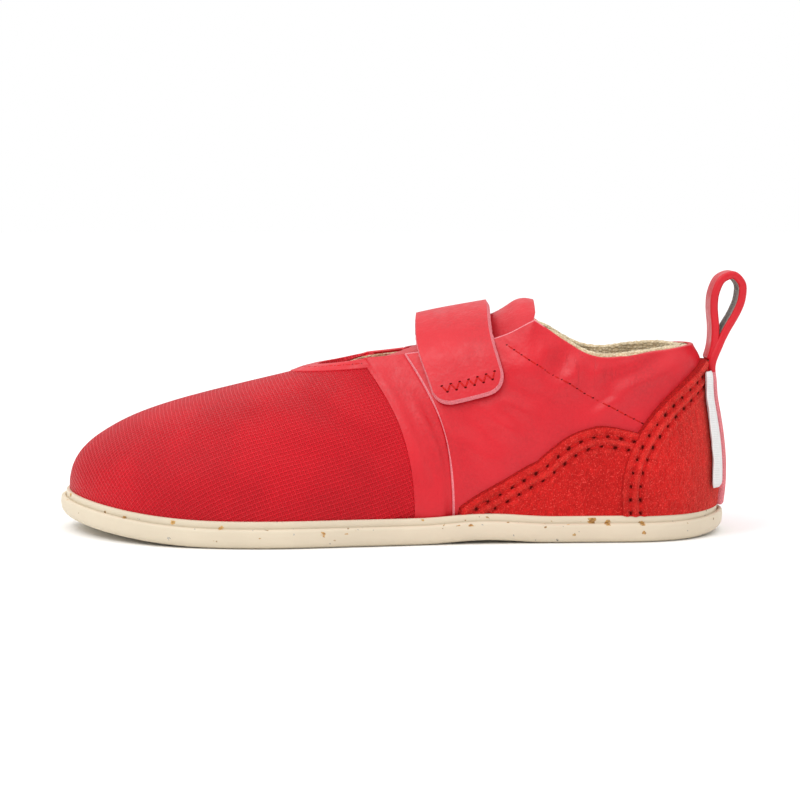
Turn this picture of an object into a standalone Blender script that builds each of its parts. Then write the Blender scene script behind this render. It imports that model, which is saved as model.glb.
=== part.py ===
"""Child's soft low shoe for the left foot, standing on its sole.

The heel is at +X, the toe at -X, the outer side faces -Y and the floor is z = 0.
Sizes are in millimetres and are scaled to metres where the points are placed.
"""

import math
from collections import namedtuple

import bmesh
import bpy
from mathutils import Vector

MM = 0.001
GAP = 0.3

# Outsole
LENGTH = 170.0
HEEL_ROUND = 25.0
TOE_ROUND = 40.0
TOE_SPRING = 4.0
TOE_SPRING_START = 0.72
HEEL_LIFT = 1.2
HEEL_LIFT_END = 0.08
ARCH_LIFT = 0.8
ARCH_START = 0.26
ARCH_END = 0.46
RIM_HEIGHT = 4.9
RIM_BOTTOM_RADIUS = 2.2
RIM_TOP_RADIUS = 0.7
LEDGE = 1.0
STEP_HEIGHT = 1.7
STEP_WALL = 1.4
FLOOR_HEIGHT = 3.6
SOLE_COLUMNS = 72

# Half width of the sole and sideways shift of its centre line, by share of the length from the heel
SoleRow = namedtuple("SoleRow", "share half_width centre")
SOLE_ROWS = (
    SoleRow(0.00, 24.0, 0.0),
    SoleRow(0.18, 25.4, 0.0),
    SoleRow(0.38, 27.0, -0.8),
    SoleRow(0.54, 31.4, -1.2),
    SoleRow(0.68, 35.8, -0.4),
    SoleRow(0.82, 35.4, 2.0),
    SoleRow(1.00, 32.0, 6.0),
)

# Insole
INSOLE_THICKNESS = 2.6
INSOLE_EDGE = 0.8

# Upper
WALL = 2.6
COLLAR_PAD = 1.4
COLLAR_PAD_DEPTH = 0.32
UPPER_INSET = LEDGE + STEP_WALL + 4 * GAP
UPPER_ROWS = 11
PANEL_STEP = 0.5
STEP_FADE = 0.14
COLLAR_FADE = 1.2
COLLAR_EDGE_START = 0.93
COLLAR_EDGE_CUT = 0.6
INSTEP_SHIFT = 2.0
INSTEP_SHIFT_START = 0.30
INSTEP_SHIFT_END = 0.60
INSIDE_HEIGHT = 20.0

# Wall sections round one side, from the heel to the toe: where the wall leaves the sole, where it
# ends at the top line, and the rise, bulge, reach and lean of the curve between the two
Section = namedtuple("Section", "name feather along half height rise bulge reach lean columns")
SECTIONS = (
    Section("heel back", 0.000, 0.043, 0.0, 48.0, 16.0, 3.6, 14.0, 84.0, 3),
    Section("heel round", 0.040, 0.066, 11.5, 47.6, 16.0, 3.4, 14.0, 84.0, 3),
    Section("heel side", 0.125, 0.130, 18.6, 46.4, 16.0, 2.8, 14.0, 82.0, 3),
    Section("ankle", 0.210, 0.205, 20.8, 46.0, 17.0, 2.4, 15.0, 79.0, 3),
    Section("ear", 0.287, 0.290, 19.8, 54.8, 18.0, 2.2, 18.0, 70.0, 2),
    Section("strap rear", 0.335, 0.350, 17.4, 50.0, 19.0, 2.2, 18.0, 58.0, 4),
    Section("quarter front", 0.395, 0.462, 14.4, 46.4, 20.0, 2.4, 18.0, 47.0, 3),
    Section("saddle front", 0.460, 0.545, 11.4, 44.8, 21.0, 2.8, 19.0, 36.0, 5),
    Section("ball", 0.640, 0.588, 7.4, 43.8, 22.0, 3.6, 21.0, 25.0, 5),
    Section("toe side", 0.830, 0.606, 3.6, 43.4, 22.8, 4.4, 30.4, 17.2, 4),
    Section("toe", 1.000, 0.610, 0.0, 43.2, 22.8, 5.0, 39.6, 14.4, 0),
)
NAMES = [section.name for section in SECTIONS]
EAR = NAMES.index("ear")
STRAP_REAR = NAMES.index("strap rear")
QUARTER_FRONT = NAMES.index("quarter front")
SADDLE_FRONT = NAMES.index("saddle front")
TOE = len(SECTIONS) - 1
SEAM_WIDTH = 0.03

# Tongue, from its end under the vamp to its free top
TongueRow = namedtuple("TongueRow", "along crest half_width droop")
TONGUE_ROWS = (
    TongueRow(0.660, 35.6, 10.4, 3.2),
    TongueRow(0.600, 38.4, 11.4, 4.2),
    TongueRow(0.520, 43.6, 12.4, 5.8),
    TongueRow(0.430, 49.0, 14.0, 7.8),
    TongueRow(0.340, 55.6, 16.0, 9.4),
    TongueRow(0.285, 62.0, 16.4, 8.4),
)
TONGUE_THICKNESS = 2.2
TONGUE_CORNER = 7.0
TONGUE_LENGTHS = 10
TONGUE_COLUMNS = 10
TONGUE_TURNS = (25, 50, 72, 90)

# Strap
STRAP_WIDTH = 18.5
STRAP_THICKNESS = 1.5
STRAP_ARCH = 7.2
STRAP_ARCH_LENGTH = 1.12
WALL_LENGTH = 54.0
STRAP_REACH_OUTER = 17.0
STRAP_REACH_INNER = 12.0
STRAP_CORNER = 5.0
STRAP_COLUMNS = 10
STRAP_LENGTHS = 22

# Suede overlays
SUEDE = 1.2
OVERLAY_CLEAR = 1.0
COUNTER_SUEDE = 1.8
COUNTER_COLUMNS = 40

# Edge of the heel counter on either side: how far it reaches from the heel at each height over the sole
CounterRow = namedtuple("CounterRow", "height reach")
COUNTER_ROWS = (
    CounterRow(0.0, 27.4),
    CounterRow(5.0, 27.6),
    CounterRow(9.0, 27.4),
    CounterRow(12.0, 26.8),
    CounterRow(15.0, 25.8),
    CounterRow(18.0, 24.4),
    CounterRow(20.5, 22.8),
    CounterRow(23.5, 20.2),
    CounterRow(26.5, 16.8),
    CounterRow(29.5, 12.8),
    CounterRow(32.5, 8.2),
    CounterRow(34.5, 4.4),
    CounterRow(36.0, 0.8),
)

# Top edge of the side overlays
OverlayRow = namedtuple("OverlayRow", "from_heel height")
OVERLAY_ROWS = (
    OverlayRow(26.0, 20.2),
    OverlayRow(33.0, 21.0),
    OverlayRow(40.0, 19.0),
    OverlayRow(46.0, 14.8),
    OverlayRow(52.0, 10.4),
    OverlayRow(58.0, 6.4),
    OverlayRow(63.0, 3.6),
    OverlayRow(67.0, 1.6),
)

# Heel strip, pull loop and label
STRIP_HALF_WIDTH = 6.0
STRIP_THICKNESS = 1.5
STRIP_TOP = 45.0
LOOP_WIDTH = 10.0
LOOP_HEIGHT = 20.0
LOOP_THICKNESS = 2.2
LOOP_BASE = 4.2
LOOP_SPREAD = 9.0
LOOP_BELLY = 0.66
LOOP_LEAN = 13.0
LOOP_CLEAR = 1.9
LOOP_BACK = 3.9
LoopKnot = namedtuple("LoopKnot", "out up before_out before_up after_out after_up")
HOLE_START = 0.22
NECK_HANDLE = 4.0
BELLY_HANDLE = 4.2
TOP_HANDLE = 2.6
HOLE_HANDLE = 2.4
HOLE_TOP_HANDLE = 1.2
LABEL_LENGTH = 28.0
LABEL_BOTTOM = 12.5
LABEL_WIDTH = 5.5
LABEL_THICKNESS = 0.9
LABEL_CLEAR = 1.2
LABEL_LIFT = 0.8


def smooth(knots, values, at):
    """Cubic curve through the values at the knots, with the slope at each from its neighbours."""
    at = min(max(at, knots[0]), knots[-1])
    low = 0
    while low < len(knots) - 2 and at > knots[low + 1]:
        low += 1
    high = low + 1
    span = knots[high] - knots[low]
    slopes = []
    for index in (low, high):
        before = max(index - 1, 0)
        after = min(index + 1, len(knots) - 1)
        slopes.append((values[after] - values[before]) / (knots[after] - knots[before]) * span)
    t = (at - knots[low]) / span
    start = values[low] * (1 + 2 * t) + slopes[0] * t
    end = values[high] * (3 - 2 * t) - slopes[1] * (1 - t)
    return start * (1 - t) ** 2 + end * t ** 2


def steps(start, end, count):
    return [start + (end - start) * index / count for index in range(count + 1)]


def fade(value, low, high):
    """Goes softly from 0 at low to 1 at high."""
    t = min(max((value - low) / (high - low), 0.0), 1.0)
    return t * t * (3 - 2 * t)


# Outline of the sole

def sole_value(share, column):
    shares = [row.share for row in SOLE_ROWS]
    return smooth(shares, [getattr(row, column) for row in SOLE_ROWS], share)


def lift(x):
    """Height of the sole's underside over the floor: heel, arch and toe spring."""
    share = 0.5 - x / LENGTH
    toe = max(share - TOE_SPRING_START, 0.0) / (1 - TOE_SPRING_START)
    heel = max(HEEL_LIFT_END - share, 0.0) / HEEL_LIFT_END
    arch = min(max((share - ARCH_START) / (ARCH_END - ARCH_START), 0.0), 1.0)
    return TOE_SPRING * toe ** 2 + HEEL_LIFT * heel ** 2 + ARCH_LIFT * math.sin(math.pi * arch) ** 2


def outline(angle):
    """Point of the sole's outline; 0 degrees is the heel, 180 the toe, the outer side comes first."""
    share = (1 - math.cos(math.radians(angle))) / 2
    heel_cap = 1 - min(share * LENGTH / HEEL_ROUND, 1.0)
    toe_cap = 1 - min((1 - share) * LENGTH / TOE_ROUND, 1.0)
    rounded = max(1 - heel_cap ** 2, 0.0) * max(1 - toe_cap ** 2, 0.0)
    half = sole_value(share, "half_width") * math.sqrt(rounded)
    side = -1 if angle % 360 < 180 else 1
    return Vector((LENGTH * (0.5 - share), sole_value(share, "centre") + side * half, 0.0))


def outward(angle):
    """Level direction out of the outline."""
    along = outline(angle + 0.4) - outline(angle - 0.4)
    return Vector((-along.y, along.x, 0.0)).normalized()


def edge_point(angle, inset):
    return outline(angle) - outward(angle) * inset


def spine_point(angle, inset):
    """Point of the centre line between the two edge points that face each other."""
    return (edge_point(angle, inset) + edge_point(360 - angle, inset)) / 2


# Surface of the upper

def loop_sections():
    """All sections round the shoe: the outer side from heel to toe, then the inner side back."""
    rows = []
    for index in range(2 * TOE):
        inner = index > TOE
        section = SECTIONS[2 * TOE - index if inner else index]
        angle = math.degrees(math.acos(1 - 2 * section.feather))
        side = 1 if inner else -1
        rows.append((360 - angle if inner else angle, side, section))
    return rows


LOOP = loop_sections()
BREAKS = (EAR, 2 * TOE - EAR)


def loop_value(row, pick, sharp, turn=0.0):
    """Smooth closed curve through one value of the sections; sharp curves bend freely at the ears."""
    count = len(LOOP)
    low = math.floor(row)
    t = row - low

    def at(index):
        return pick(LOOP[index % count]) + turn * (index // count)

    def slope(index, forward):
        if sharp and index % count in BREAKS:
            return at(index + 1) - at(index) if forward else at(index) - at(index - 1)
        return (at(index + 1) - at(index - 1)) / 2

    first = at(low) * (1 + 2 * t) + slope(low, True) * t
    last = at(low + 1) * (3 - 2 * t) - slope(low + 1, False) * (1 - t)
    return first * (1 - t) ** 2 + last * t ** 2


def feather(row):
    angle = loop_value(row, lambda entry: entry[0], False, 360.0)
    point = edge_point(angle, UPPER_INSET)
    point.z = lift(point.x) + FLOOR_HEIGHT + GAP
    return point, outward(angle)


def instep_shift(share):
    """The throat and the tongue lie a little towards the inner side."""
    return INSTEP_SHIFT * fade(share, INSTEP_SHIFT_START, INSTEP_SHIFT_END)


def top_line(row):
    share = loop_value(row, lambda entry: entry[2].along, True)
    half = loop_value(row, lambda entry: entry[1] * entry[2].half, True)
    height = loop_value(row, lambda entry: entry[2].height, True)
    return Vector((LENGTH * (0.5 - share), half + instep_shift(share), height))


def wall_curve(row, r):
    """Point of the upper's main surface: row runs round the shoe, r from the sole to the top line."""
    start, out = feather(row)
    end = top_line(row)
    rise = loop_value(row, lambda entry: entry[2].rise, False)
    bulge = loop_value(row, lambda entry: entry[2].bulge, False)
    reach = loop_value(row, lambda entry: entry[2].reach, False)
    lean = math.radians(loop_value(row, lambda entry: entry[2].lean, False))
    inward = Vector((end.x - start.x, end.y - start.y, 0.0)).normalized()
    first = start + Vector((0, 0, rise)) + out * bulge
    last = end - (inward * math.cos(lean) + Vector((0, 0, math.sin(lean)))) * reach
    s = 1 - r
    return start * s ** 3 + first * 3 * s * s * r + last * 3 * s * r * r + end * r ** 3


def wall_normal(row, r):
    r = min(max(r, 0.01), 0.99)
    around = wall_curve(row + 0.01, r) - wall_curve(row - 0.01, r)
    up = wall_curve(row, r + 0.01) - wall_curve(row, r - 0.01)
    return up.cross(around).normalized()


def on_wall(row, r, offset):
    return wall_curve(row, r) + wall_normal(row, r) * offset


def from_heel(row):
    """Section number counted from the heel on either side."""
    row = row % (2 * TOE)
    return min(row, 2 * TOE - row)


def panel_offset(row, r):
    """The quarters lie on the saddle and the saddle on the vamp, each a step lower."""
    place = from_heel(row)
    steps = (place > QUARTER_FRONT) + (place > SADDLE_FRONT)
    return -PANEL_STEP * steps * min(r / STEP_FADE, 1.0)


def row_at(distance, side):
    """Section number where the wall leaves the sole at this distance from the heel."""
    goal = 180 - math.degrees(math.acos(min(max(2 * distance / LENGTH - 1, -1.0), 1.0)))
    low, high = 0.0, float(TOE)
    for _ in range(30):
        middle = (low + high) / 2
        if loop_value(middle, lambda entry: entry[0], False, 360.0) < goal:
            low = middle
        else:
            high = middle
    return low if side < 0 else -low


def wall_columns():
    """Section numbers of the upper's grid, all the way round."""
    columns = []
    for index in range(2 * TOE):
        inner = index >= TOE
        count = SECTIONS[2 * TOE - 1 - index if inner else index].columns
        columns += steps(float(index), index + 1.0, count)[:-1]
    return columns + [2.0 * TOE]


def r_at(row, height):
    """Share of the wall curve at this height over the floor."""
    low, high = 0.0, 1.0
    for _ in range(30):
        middle = (low + high) / 2
        if wall_curve(row, middle).z < height:
            low = middle
        else:
            high = middle
    return low


def overlay_base(row):
    """Lowest height of an overlay: just over the step of the sole."""
    return lift(feather(row)[0].x) + RIM_HEIGHT + STEP_HEIGHT + OVERLAY_CLEAR


# Building tools

def clear_scene():
    for item in list(bpy.data.objects):
        bpy.data.objects.remove(item, do_unlink=True)


def material(name, colour, roughness):
    made = bpy.data.materials.new(name)
    made.use_nodes = True
    shader = made.node_tree.nodes["Principled BSDF"]
    shader.inputs["Base Color"].default_value = (*colour, 1.0)
    shader.inputs["Roughness"].default_value = roughness
    shader.inputs["Metallic"].default_value = 0.0
    return made


def add_object(name, mesh, finish):
    item = bpy.data.objects.new(name, mesh)
    mesh.materials.append(finish)
    SHOE.objects.link(item)
    return item


def sheet(name, columns, rows, place, finish, thickness=0.0, offset=-1.0):
    """A grid laid out by a function of column and row, given a thickness where it is a shell."""
    mesh = bpy.data.meshes.new(name)
    grid = bmesh.new()
    bmesh.ops.create_grid(grid, x_segments=len(columns) - 1, y_segments=len(rows) - 1, size=1.0)
    for vertex in grid.verts:
        column = columns[round((vertex.co.x + 1) / 2 * (len(columns) - 1))]
        row = rows[round((vertex.co.y + 1) / 2 * (len(rows) - 1))]
        vertex.co = place(column, row) * MM
    bmesh.ops.remove_doubles(grid, verts=grid.verts, dist=1e-6)
    bmesh.ops.dissolve_degenerate(grid, edges=grid.edges, dist=1e-7)
    bmesh.ops.recalc_face_normals(grid, faces=grid.faces)
    inside = Vector((0.0, 0.0, INSIDE_HEIGHT)) * MM
    facing = 0.0
    for face in grid.faces:
        facing += face.normal.dot(face.calc_center_median() - inside) * face.calc_area()
    if facing < 0:
        bmesh.ops.reverse_faces(grid, faces=grid.faces)
    grid.to_mesh(mesh)
    grid.free()
    item = add_object(name, mesh, finish)
    if thickness:
        shell = item.modifiers.new("wall", "SOLIDIFY")
        shell.thickness = thickness * MM
        shell.offset = offset
        shell.use_even_offset = True
    return item


# Pieces

def build_outsole(finish):
    """Rings round the outline from the middle of the underside, over the rim, to the middle of the cup."""
    inner = LEDGE + STEP_WALL
    profile = [("spine", 0.0), (RIM_BOTTOM_RADIUS, 0.0)]
    for turn in (30, 60, 90):
        sine = math.sin(math.radians(turn))
        cosine = math.cos(math.radians(turn))
        profile.append((RIM_BOTTOM_RADIUS * (1 - sine), RIM_BOTTOM_RADIUS * (1 - cosine)))
    profile.append((0.0, RIM_HEIGHT - RIM_TOP_RADIUS))
    profile.append((RIM_TOP_RADIUS * 0.3, RIM_HEIGHT - RIM_TOP_RADIUS * 0.3))
    profile.append((RIM_TOP_RADIUS, RIM_HEIGHT))
    profile.append((LEDGE, RIM_HEIGHT))
    profile.append((LEDGE + 0.2, RIM_HEIGHT + STEP_HEIGHT))
    profile.append((inner, RIM_HEIGHT + STEP_HEIGHT))
    profile.append((inner, FLOOR_HEIGHT))
    profile.append(("spine", FLOOR_HEIGHT))

    def place(angle, ring):
        inset, height = ring
        if inset == "spine":
            point = spine_point(angle, RIM_BOTTOM_RADIUS if height == 0.0 else inner)
        else:
            point = edge_point(angle, inset)
        point.z = lift(point.x) + height
        return point

    return sheet("outsole", steps(0.0, 360.0, SOLE_COLUMNS), profile, place, finish)


def build_insole(finish):
    """Flat inlay inside the wall of the upper, with a rounded upper edge."""
    edge = UPPER_INSET + WALL + 3 * GAP
    low = FLOOR_HEIGHT + GAP
    high = low + INSOLE_THICKNESS
    profile = [
        ("spine", low),
        (edge, low),
        (edge, high - INSOLE_EDGE),
        (edge + INSOLE_EDGE, high),
        ("spine", high),
    ]

    def place(angle, ring):
        inset, height = ring
        if inset == "spine":
            point = spine_point(angle, edge if height == low else edge + INSOLE_EDGE)
        else:
            point = edge_point(angle, inset)
        point.z = lift(point.x) + height
        return point

    return sheet("insole", steps(0.0, 360.0, SOLE_COLUMNS // 2), profile, place, finish)


def build_upper(finish):
    """The hollow wall: vamp, saddle, quarters and a collar that is thicker towards its edge."""
    columns = wall_columns()
    for seam in (QUARTER_FRONT, SADDLE_FRONT, 2 * TOE - SADDLE_FRONT, 2 * TOE - QUARTER_FRONT):
        spot = columns.index(float(seam))
        columns[spot:spot + 1] = [seam - SEAM_WIDTH, seam + SEAM_WIDTH]

    def place(row, spot):
        layer, r = spot
        if layer == "outer":
            return on_wall(row, r, panel_offset(row, r))
        collar = 1 - fade(from_heel(row), EAR - COLLAR_FADE, EAR)
        padded = fade(r, 1 - COLLAR_PAD_DEPTH, 1 - COLLAR_PAD_DEPTH / 2)
        padded *= 1 - COLLAR_EDGE_CUT * fade(r, COLLAR_EDGE_START, 1.0)
        return on_wall(row, r, -WALL - COLLAR_PAD * collar * padded)

    rising = steps(0.0, 1.0, UPPER_ROWS)
    rows = [("outer", r) for r in rising] + [("inner", r) for r in reversed(rising)] + [("outer", 0.0)]
    return sheet("upper", columns, rows, place, finish)


def build_tongue(finish):
    """An arched flap that starts under the vamp and ends in a rounded top above the quarters."""
    spots = [row.along for row in TONGUE_ROWS]
    front, top = spots[0], spots[-1]
    falling = [-spot for spot in spots]

    def place(along, across):
        crest, half, droop = (
            smooth(falling, [getattr(row, column) for row in TONGUE_ROWS], -along)
            for column in ("crest", "half_width", "droop")
        )
        from_top = (along - top) * LENGTH
        short = max(TONGUE_CORNER - from_top, 0.0) / TONGUE_CORNER
        kept = 1 - TONGUE_CORNER / half * (1 - math.sqrt(1 - short ** 2))
        side = half * kept * across
        height = crest - droop * (kept * across) ** 2
        return Vector((LENGTH * (0.5 - along), instep_shift(along) + side, height))

    corner = TONGUE_CORNER / LENGTH
    rows = steps(front, top + corner, TONGUE_LENGTHS)
    rows += [top + corner * (1 - math.sin(math.radians(turn))) for turn in TONGUE_TURNS]
    return sheet("tongue", rows, steps(-1.0, 1.0, TONGUE_COLUMNS), place, finish, TONGUE_THICKNESS, -1.0)


def strap_half_span(row):
    """Half the way over the throat, from one top line to the other, along the arch of the strap."""
    return (top_line(row) - top_line(2 * TOE - row)).length * STRAP_ARCH_LENGTH / 2


def strap_point(across, way):
    """Across runs over the strap's width; way from its outer end, over the throat, to its inner end."""
    middle = (STRAP_REAR + QUARTER_FRONT) / 2
    beyond = max(abs(way) - strap_half_span(middle), 0.0)
    depth = max(1 - beyond / WALL_LENGTH, 0.0)
    pitch = (wall_curve(middle + 0.5, depth) - wall_curve(middle - 0.5, depth)).length
    row = middle + across * STRAP_WIDTH / pitch
    twin = 2 * TOE - row
    outer, inner = top_line(row), top_line(twin)
    half = strap_half_span(row)
    if abs(way) <= half:
        share = way / half
        point = outer.lerp(inner, (share + 1) / 2)
        point.z += STRAP_ARCH * (1 - share ** 2)
        return point
    return wall_curve(row if way < 0 else twin, 1 - (abs(way) - half) / WALL_LENGTH)


def build_strap(finish):
    """Instep strap on the quarters, over the throat, with rounded corners at its outer end."""
    half = strap_half_span((STRAP_REAR + QUARTER_FRONT) / 2)

    def place(across, share):
        to_edge = (0.5 - abs(across)) * STRAP_WIDTH
        short = max(STRAP_CORNER - to_edge, 0.0)
        corner = STRAP_CORNER - math.sqrt(STRAP_CORNER ** 2 - short ** 2)
        start = -half - STRAP_REACH_OUTER + corner
        end = half + STRAP_REACH_INNER
        way = start + (end - start) * share
        along_way = strap_point(across, way + 0.2) - strap_point(across, way - 0.2)
        along_row = strap_point(across - 0.02, way) - strap_point(across + 0.02, way)
        normal = along_row.cross(along_way).normalized()
        return strap_point(across, way) + normal * 2 * GAP

    across = [math.sin(math.radians(turn)) / 2 for turn in steps(-90.0, 90.0, STRAP_COLUMNS)]
    return sheet("strap", across, steps(0.0, 1.0, STRAP_LENGTHS), place, finish, STRAP_THICKNESS, 1.0)


def counter_reach(height):
    """Distance from the heel to the counter's edge at this height over the sole's step."""
    return smooth([row.height for row in COUNTER_ROWS], [row.reach for row in COUNTER_ROWS], height)


def build_counter(finish):
    """Suede round the heel, its edge rising from the sole on each side and falling back to the seam."""
    def place(across, height):
        row = across * row_at(counter_reach(height), -1)
        return on_wall(row, r_at(row, overlay_base(row) + height), GAP)

    heights = [row.height for row in COUNTER_ROWS]
    across = steps(-1.0, 1.0, COUNTER_COLUMNS)
    return sheet("heel_counter", across, heights, place, finish, COUNTER_SUEDE, 1.0)


def build_side_overlay(name, side, finish):
    """Suede wing in front of the counter, falling to the sole at the ball."""
    distances = [row.from_heel for row in OVERLAY_ROWS]
    heights = [row.height for row in OVERLAY_ROWS]
    front = distances[-1]

    def place(along, share):
        nominal = distances[0] + (front - distances[0]) * along
        height = smooth(distances, heights, nominal) * share
        rear = counter_reach(height) + 2 * GAP
        row = row_at(rear + (front - rear) * along, side)
        return on_wall(row, r_at(row, overlay_base(row) + height), GAP)

    return sheet(name, steps(0.0, 1.0, 14), steps(0.0, 1.0, 4), place, finish, SUEDE, 1.0)


def strip_row(across):
    """Section number at this distance from the heel's centre line, the outer side being negative."""
    low, high = 0.0, 2.0
    for _ in range(30):
        middle = (low + high) / 2
        if abs(wall_curve(middle, 0.5).y) < abs(across):
            low = middle
        else:
            high = middle
    return low if across < 0 else -low


def build_heel_strip(finish):
    """Smooth band up the back, over the counter."""
    def place(across, share):
        row = strip_row(across)
        base = overlay_base(row)
        r = r_at(row, base + (STRIP_TOP - base) * share)
        return on_wall(row, r, COUNTER_SUEDE + 2 * GAP)

    across = steps(-STRIP_HALF_WIDTH, STRIP_HALF_WIDTH, 4)
    return sheet("heel_strip", across, steps(0.0, 1.0, 8), place, finish, STRIP_THICKNESS, 1.0)


def build_pull_loop(finish):
    """The strip's end folded to a loop: a tall drop with a hole, as wide as the strip."""
    drop = bpy.data.curves.new("pull_loop", "CURVE")
    drop.dimensions = "2D"
    drop.fill_mode = "BOTH"
    drop.resolution_u = 5
    drop.extrude = LOOP_WIDTH / 2 * MM
    hole_start = LOOP_HEIGHT * HOLE_START
    hole_end = LOOP_HEIGHT - LOOP_THICKNESS
    half = LOOP_SPREAD / 2
    hole_half = half - LOOP_THICKNESS
    neck = LOOP_BASE / 2
    belly = LOOP_HEIGHT * LOOP_BELLY
    outer = (
        LoopKnot(-neck, 0.0, 0.0, 0.0, 0.0, NECK_HANDLE),
        LoopKnot(-half, belly, 0.0, -BELLY_HANDLE, 0.0, BELLY_HANDLE),
        LoopKnot(0.0, LOOP_HEIGHT, -TOP_HANDLE, 0.0, TOP_HANDLE, 0.0),
        LoopKnot(half, belly, 0.0, BELLY_HANDLE, 0.0, -BELLY_HANDLE),
        LoopKnot(neck, 0.0, 0.0, NECK_HANDLE, 0.0, 0.0),
    )
    hole = (
        LoopKnot(0.0, hole_start, -GAP, HOLE_HANDLE, GAP, HOLE_HANDLE),
        LoopKnot(hole_half, belly, 0.0, -BELLY_HANDLE, 0.0, HOLE_HANDLE),
        LoopKnot(0.0, hole_end, HOLE_TOP_HANDLE, 0.0, -HOLE_TOP_HANDLE, 0.0),
        LoopKnot(-hole_half, belly, 0.0, HOLE_HANDLE, 0.0, -BELLY_HANDLE),
    )
    for knots in (outer, hole):
        spline = drop.splines.new("BEZIER")
        spline.bezier_points.add(len(knots) - 1)
        spline.use_cyclic_u = True
        for point, knot in zip(spline.bezier_points, knots):
            here = Vector((knot.out, knot.up, 0.0))
            point.handle_left_type = "FREE"
            point.handle_right_type = "FREE"
            point.co = here * MM
            point.handle_left = (here + Vector((knot.before_out, knot.before_up, 0.0))) * MM
            point.handle_right = (here + Vector((knot.after_out, knot.after_up, 0.0))) * MM
    item = bpy.data.objects.new("pull_loop", drop)
    drop.materials.append(finish)
    SHOE.objects.link(item)
    base = on_wall(0.0, r_at(0.0, STRIP_TOP), LOOP_BACK)
    item.rotation_euler = (math.radians(90), math.radians(LOOP_LEAN), 0.0)
    item.location = Vector((base.x, base.y, STRIP_TOP + LOOP_CLEAR)) * MM
    return item


def build_label(finish):
    """White folded tape beside the strip, on the outer side, bare on both faces; its fold stands off."""
    def place(out, share):
        row = strip_row(-STRIP_HALF_WIDTH - LABEL_CLEAR - LABEL_WIDTH * out)
        r = r_at(row, LABEL_BOTTOM + LABEL_LENGTH * share)
        return on_wall(row, r, COUNTER_SUEDE + 2 * GAP + LABEL_LIFT * out ** 2)

    return sheet("label_tab", steps(0.0, 1.0, 4), steps(0.0, 1.0, 7), place, finish, LABEL_THICKNESS, 1.0)


def main():
    red_leather = material("smooth red leather", (0.50, 0.025, 0.045), 0.42)
    red_weave = material("textured red vamp", (0.42, 0.015, 0.030), 0.55)
    red_suede = material("red suede", (0.52, 0.030, 0.018), 0.95)
    cream_rubber = material("cream rubber", (0.74, 0.60, 0.44), 0.60)
    cream_cloth = material("cream lining", (0.66, 0.56, 0.44), 0.95)
    white_tape = material("white tape", (0.85, 0.84, 0.82), 0.85)
    build_outsole(cream_rubber)
    build_insole(cream_cloth)
    build_upper(red_weave)
    build_tongue(red_leather.copy())
    build_strap(red_leather.copy())
    build_counter(red_suede)
    build_side_overlay("side_overlay_lateral", -1, red_suede.copy())
    build_side_overlay("side_overlay_medial", 1, red_suede.copy())
    build_heel_strip(red_leather.copy())
    build_pull_loop(red_leather)
    build_label(white_tape)


clear_scene()
SHOE = bpy.data.collections.new("soft_low_shoe")
bpy.context.scene.collection.children.link(SHOE)
main()
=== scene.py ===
"""Looks of a child's soft low shoe for the left foot, set out as an add-on.

The heel is at +X, the toe at -X, the outer side faces -Y and the floor is z = 0.
Tables and functions of form are in millimetres; points become metres when they are placed.
"""

import math
from collections import namedtuple

import bpy
import numpy as np
from mathutils.kdtree import KDTree
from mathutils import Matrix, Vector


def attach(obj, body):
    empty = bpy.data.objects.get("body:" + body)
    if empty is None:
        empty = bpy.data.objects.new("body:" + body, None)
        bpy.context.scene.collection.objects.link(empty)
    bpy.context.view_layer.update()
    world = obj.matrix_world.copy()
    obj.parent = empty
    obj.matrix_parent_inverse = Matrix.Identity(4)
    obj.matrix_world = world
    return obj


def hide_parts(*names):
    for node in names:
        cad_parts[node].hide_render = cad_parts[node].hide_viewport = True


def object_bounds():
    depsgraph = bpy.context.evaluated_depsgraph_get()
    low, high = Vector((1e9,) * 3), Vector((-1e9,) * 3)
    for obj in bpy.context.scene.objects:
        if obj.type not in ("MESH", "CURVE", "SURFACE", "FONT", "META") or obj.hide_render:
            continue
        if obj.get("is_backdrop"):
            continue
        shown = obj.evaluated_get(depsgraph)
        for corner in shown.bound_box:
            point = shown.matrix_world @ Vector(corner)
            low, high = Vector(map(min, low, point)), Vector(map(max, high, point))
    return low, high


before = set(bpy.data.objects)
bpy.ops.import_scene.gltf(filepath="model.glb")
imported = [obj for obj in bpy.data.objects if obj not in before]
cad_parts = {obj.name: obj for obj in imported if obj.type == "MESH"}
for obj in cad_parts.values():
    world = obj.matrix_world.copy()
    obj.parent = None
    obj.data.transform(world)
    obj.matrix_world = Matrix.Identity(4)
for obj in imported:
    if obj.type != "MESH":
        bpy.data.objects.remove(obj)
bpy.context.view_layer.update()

bl_info = {
    "name": "Soft low shoe",
    "version": (1, 0, 0),
    "blender": (4, 5, 0),
    "location": "View3D > Sidebar > Soft shoe",
    "description": "Dresses a child's soft low shoe in rubber, leather, suede and cloth",
    "category": "Add Mesh",
}

MM = 0.001
GAP = 0.3

# Sole
LENGTH = 170.0
HEEL_ROUND = 25.0
TOE_ROUND = 40.0
TOE_SPRING = 4.0
TOE_SPRING_START = 0.72
HEEL_LIFT = 1.2
HEEL_LIFT_END = 0.08
ARCH_LIFT = 0.8
ARCH_START = 0.26
ARCH_END = 0.46
RIM_HEIGHT = 4.9
STEP_HEIGHT = 1.7
LEDGE = 1.0
STEP_WALL = 1.4
FLOOR_HEIGHT = 3.6
SOLE_TOP = 9.0
TREAD_ROUND = 2.2
LIP_ROUND = 0.8
RIM_SWELL = 0.12
INSOLE_THICKNESS = 2.6

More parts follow.
